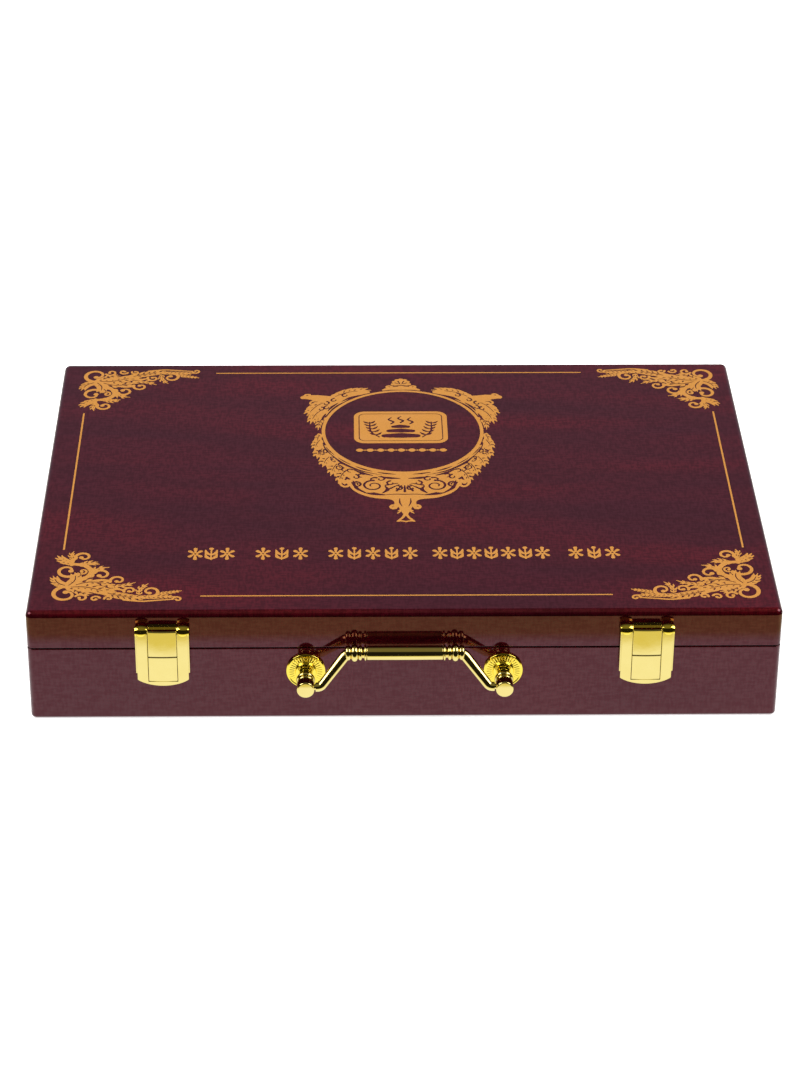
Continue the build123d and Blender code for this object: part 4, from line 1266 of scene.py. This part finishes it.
def make_legends():
    """Printed signs: a power sign, an arrow on each temperature key, and a rule round the display."""
    x, y, z = middle_of("power_button")
    sign = [part_ring(x, y, 2.9, 0.6, 120, 420), rectangle(x - 0.3, y + 0.6, x + 0.3, y + 3.6)]
    ink_piece("power_sign", sign, z, 0.03, "power_key", "button_plastic")
    for node, body, way in (("temp_up_button", "up_key", 1), ("temp_down_button", "down_key", -1)):
        x, y, z = middle_of(node)
        arrow = [(x - 2.4, y - way * 1.5), (x + 2.4, y - way * 1.5), (x, y + way * 2.0)]
        ink_piece(node.replace("button", "sign"), [arrow], z, 0.03, body, "button_plastic")
    x, y, z = middle_of("display_window")
    rule = [rounded_rectangle((x, y), half, radius) for half, radius in (((20, 11), 2), ((19.5, 10.5), 1.6))]
    ink_piece("display_rule", rule, z, 0.03, "base", "dark_plastic")


def make_display():
    """The unlit segments of a two-place display, under the smoked window."""
    x, y, z = middle_of("display_module")
    half_x, half_y, thin = 2.4, 4.2, 0.45
    loops = []
    for place in (-4.2, 4.2):
        left, right = x + place - half_x, x + place + half_x
        for py in (y - half_y, y, y + half_y):
            loops.append(rectangle(left + 0.7, py - thin, right - 0.7, py + thin))
        for px in (left, right):
            for low in (y - 3.6, y + 0.6):
                loops.append(rectangle(px - thin, low, px + thin, low + 3.0))
    ink_piece("display_segments", loops, z, 0.05, "base", "dark_plastic")


# ================================================================ camera, floor and light
# Metres, degrees and millimetres.
CAMERA_PLACE = (-0.0323, -1.5736, 0.9369)
CAMERA_YAW, CAMERA_PITCH, CAMERA_ROLL = 1.18, 30.16, 0.39
CAMERA_LENS = 104.87


def make_camera():
    data = bpy.data.cameras.new("camera")
    data.lens = CAMERA_LENS
    data.sensor_width = 36.0
    data.clip_start, data.clip_end = 0.05, 50.0
    camera = bpy.data.objects.new("camera", data)
    aim = rotation(-CAMERA_YAW, "Z") @ rotation(90 - CAMERA_PITCH, "X") @ rotation(CAMERA_ROLL, "Z")
    camera.matrix_world = Matrix.Translation(CAMERA_PLACE) @ aim
    bpy.context.scene.collection.objects.link(camera)
    bpy.context.scene.camera = camera


def stage_sheet(name, half, z, material):
    mesh = bpy.data.meshes.new(name)
    corners = [(x, y, 0) for x, y in rectangle(-half, -half, half, half)]
    mesh.from_pydata(corners, [], [(0, 1, 2, 3)])
    sheet = bpy.data.objects.new(name, mesh)
    sheet.location.z = z
    mesh.materials.append(material)
    bpy.context.scene.collection.objects.link(sheet)
    return sheet


def make_floor():
    """A plain white floor. Its own faint glow keeps the shadow under the case soft and pale."""
    paint = Paint("pale_floor")
    paint.set(base_color=paint.mix(paint.noise(3), (0.85, 0.85, 0.85), (0.87, 0.87, 0.87)), roughness=0.9)
    paint.set(specular_ior_level=0.1, emission_color=(1.0, 1.0, 1.0), emission_strength=0.55)
    floor = stage_sheet("floor", 6.0, -0.0002, paint.material)
    floor.visible_glossy = False
    floor.visible_diffuse = False


# How far beyond the case the white sheet and the table reach, in metres.
WHITE_EDGE, TABLE_EDGE = 0.081, 0.115


def make_reflection_card():
    """What polished surfaces see below the horizon: a white sheet, a pale table and a dim room."""
    paint = Paint("reflection_card")
    place = paint.add("ShaderNodeSeparateXYZ", {"Vector": paint.place})
    beyond = []
    for axis, half in (("X", LID_HIGH.x), ("Y", LID_HIGH.y)):
        side = paint.math("ABSOLUTE", place.outputs[axis], 0.0)
        beyond.append(paint.math("MAXIMUM", paint.math("SUBTRACT", side, half), 0.0))
    squares = paint.math("ADD", *[paint.math("MULTIPLY", value, value) for value in beyond])
    away = paint.math("SQRT", squares, 0.0)
    behind = paint.between(place.outputs["Y"], -0.16, 0.10)
    room = paint.mix(behind, (0.012, 0.010, 0.008), (0.42, 0.41, 0.40))
    table = paint.mix(behind, (0.88, 0.79, 0.33), (0.95, 0.90, 0.78))
    colour = paint.mix(paint.between(away, TABLE_EDGE - 0.01, TABLE_EDGE + 0.015), table, room)
    white = (1.15, 1.15, 1.15)
    colour = paint.mix(paint.between(away, WHITE_EDGE - 0.006, WHITE_EDGE + 0.004), white, colour)
    paint.set(base_color=(0.0, 0.0, 0.0), roughness=1.0, specular_ior_level=0.0)
    paint.set(emission_color=colour, emission_strength=1.0)
    paint.material.cycles.emission_sampling = "NONE"
    card = stage_sheet("reflection_card", 4.0, -0.0001, paint.material)
    card.visible_camera = False
    card.visible_diffuse = False
    card.visible_transmission = False
    card.visible_shadow = False


def soft_light(name, place, target, size, power, seen=True):
    data = bpy.data.lights.new(name, "AREA")
    data.shape = "RECTANGLE"
    data.size, data.size_y = size
    data.energy = power
    light = bpy.data.objects.new(name, data)
    light.location = place
    light.rotation_mode = "QUATERNION"
    light.rotation_quaternion = (Vector(target) - Vector(place)).to_track_quat("-Z", "Y")
    light.visible_glossy = seen
    bpy.context.scene.collection.objects.link(light)


def make_world():
    """A dim room: grey behind and beside the case, dark in front, with a grey ceiling towards the front."""
    world = bpy.data.worlds.new("studio")
    world.use_nodes = True
    nodes = Nodes(world.node_tree)
    look = nodes.add("ShaderNodeTexCoord").outputs["Generated"]
    ways = nodes.add("ShaderNodeSeparateXYZ", {"Vector": look})
    away, up = ways.outputs["Y"], ways.outputs["Z"]
    low_room = nodes.mix(nodes.between(away, -0.35, 0.15), (0.014, 0.012, 0.010), (0.19, 0.155, 0.195))
    ceiling = nodes.mix(nodes.between(away, 0.22, 0.36), (0.18, 0.16, 0.09), (0.06, 0.06, 0.06))
    shades = nodes.mix(nodes.between(up, 0.68, 0.75), low_room, ceiling)
    nodes.put(world.node_tree.nodes["Background"].inputs["Color"], shades)
    bpy.context.scene.world = world


def make_lights():
    """A broad light overhead, a weak one in front, and a box on each side that the gold mirrors."""
    case_top = (0, 0, 0.05)
    soft_light("overhead", (0.0, 0.25, 2.6), target=(0, 0, 0), size=(3.4, 3.0), power=108, seen=False)
    soft_light("front_fill", (0.2, -2.6, 1.0), target=case_top, size=(2.6, 1.4), power=14, seen=False)
    for side in (-1, 1):
        place = (side * 1.45, -0.35, 1.45)
        soft_light(f"side_box_{side}", place, target=case_top, size=(1.3, 1.1), power=20)
    make_world()
    bpy.context.scene.view_settings.view_transform = "Standard"


# ================================================================ build
make_camera()
make_floor()
make_reflection_card()
make_lights()
dress_cad_nodes()
make_rosettes()
make_posts()
make_handle()
for latch_side in ("left", "right"):
    make_latch(latch_side)
make_print()
make_tray()
make_tray_felt()
make_lid_lining()
make_legends()
make_display()
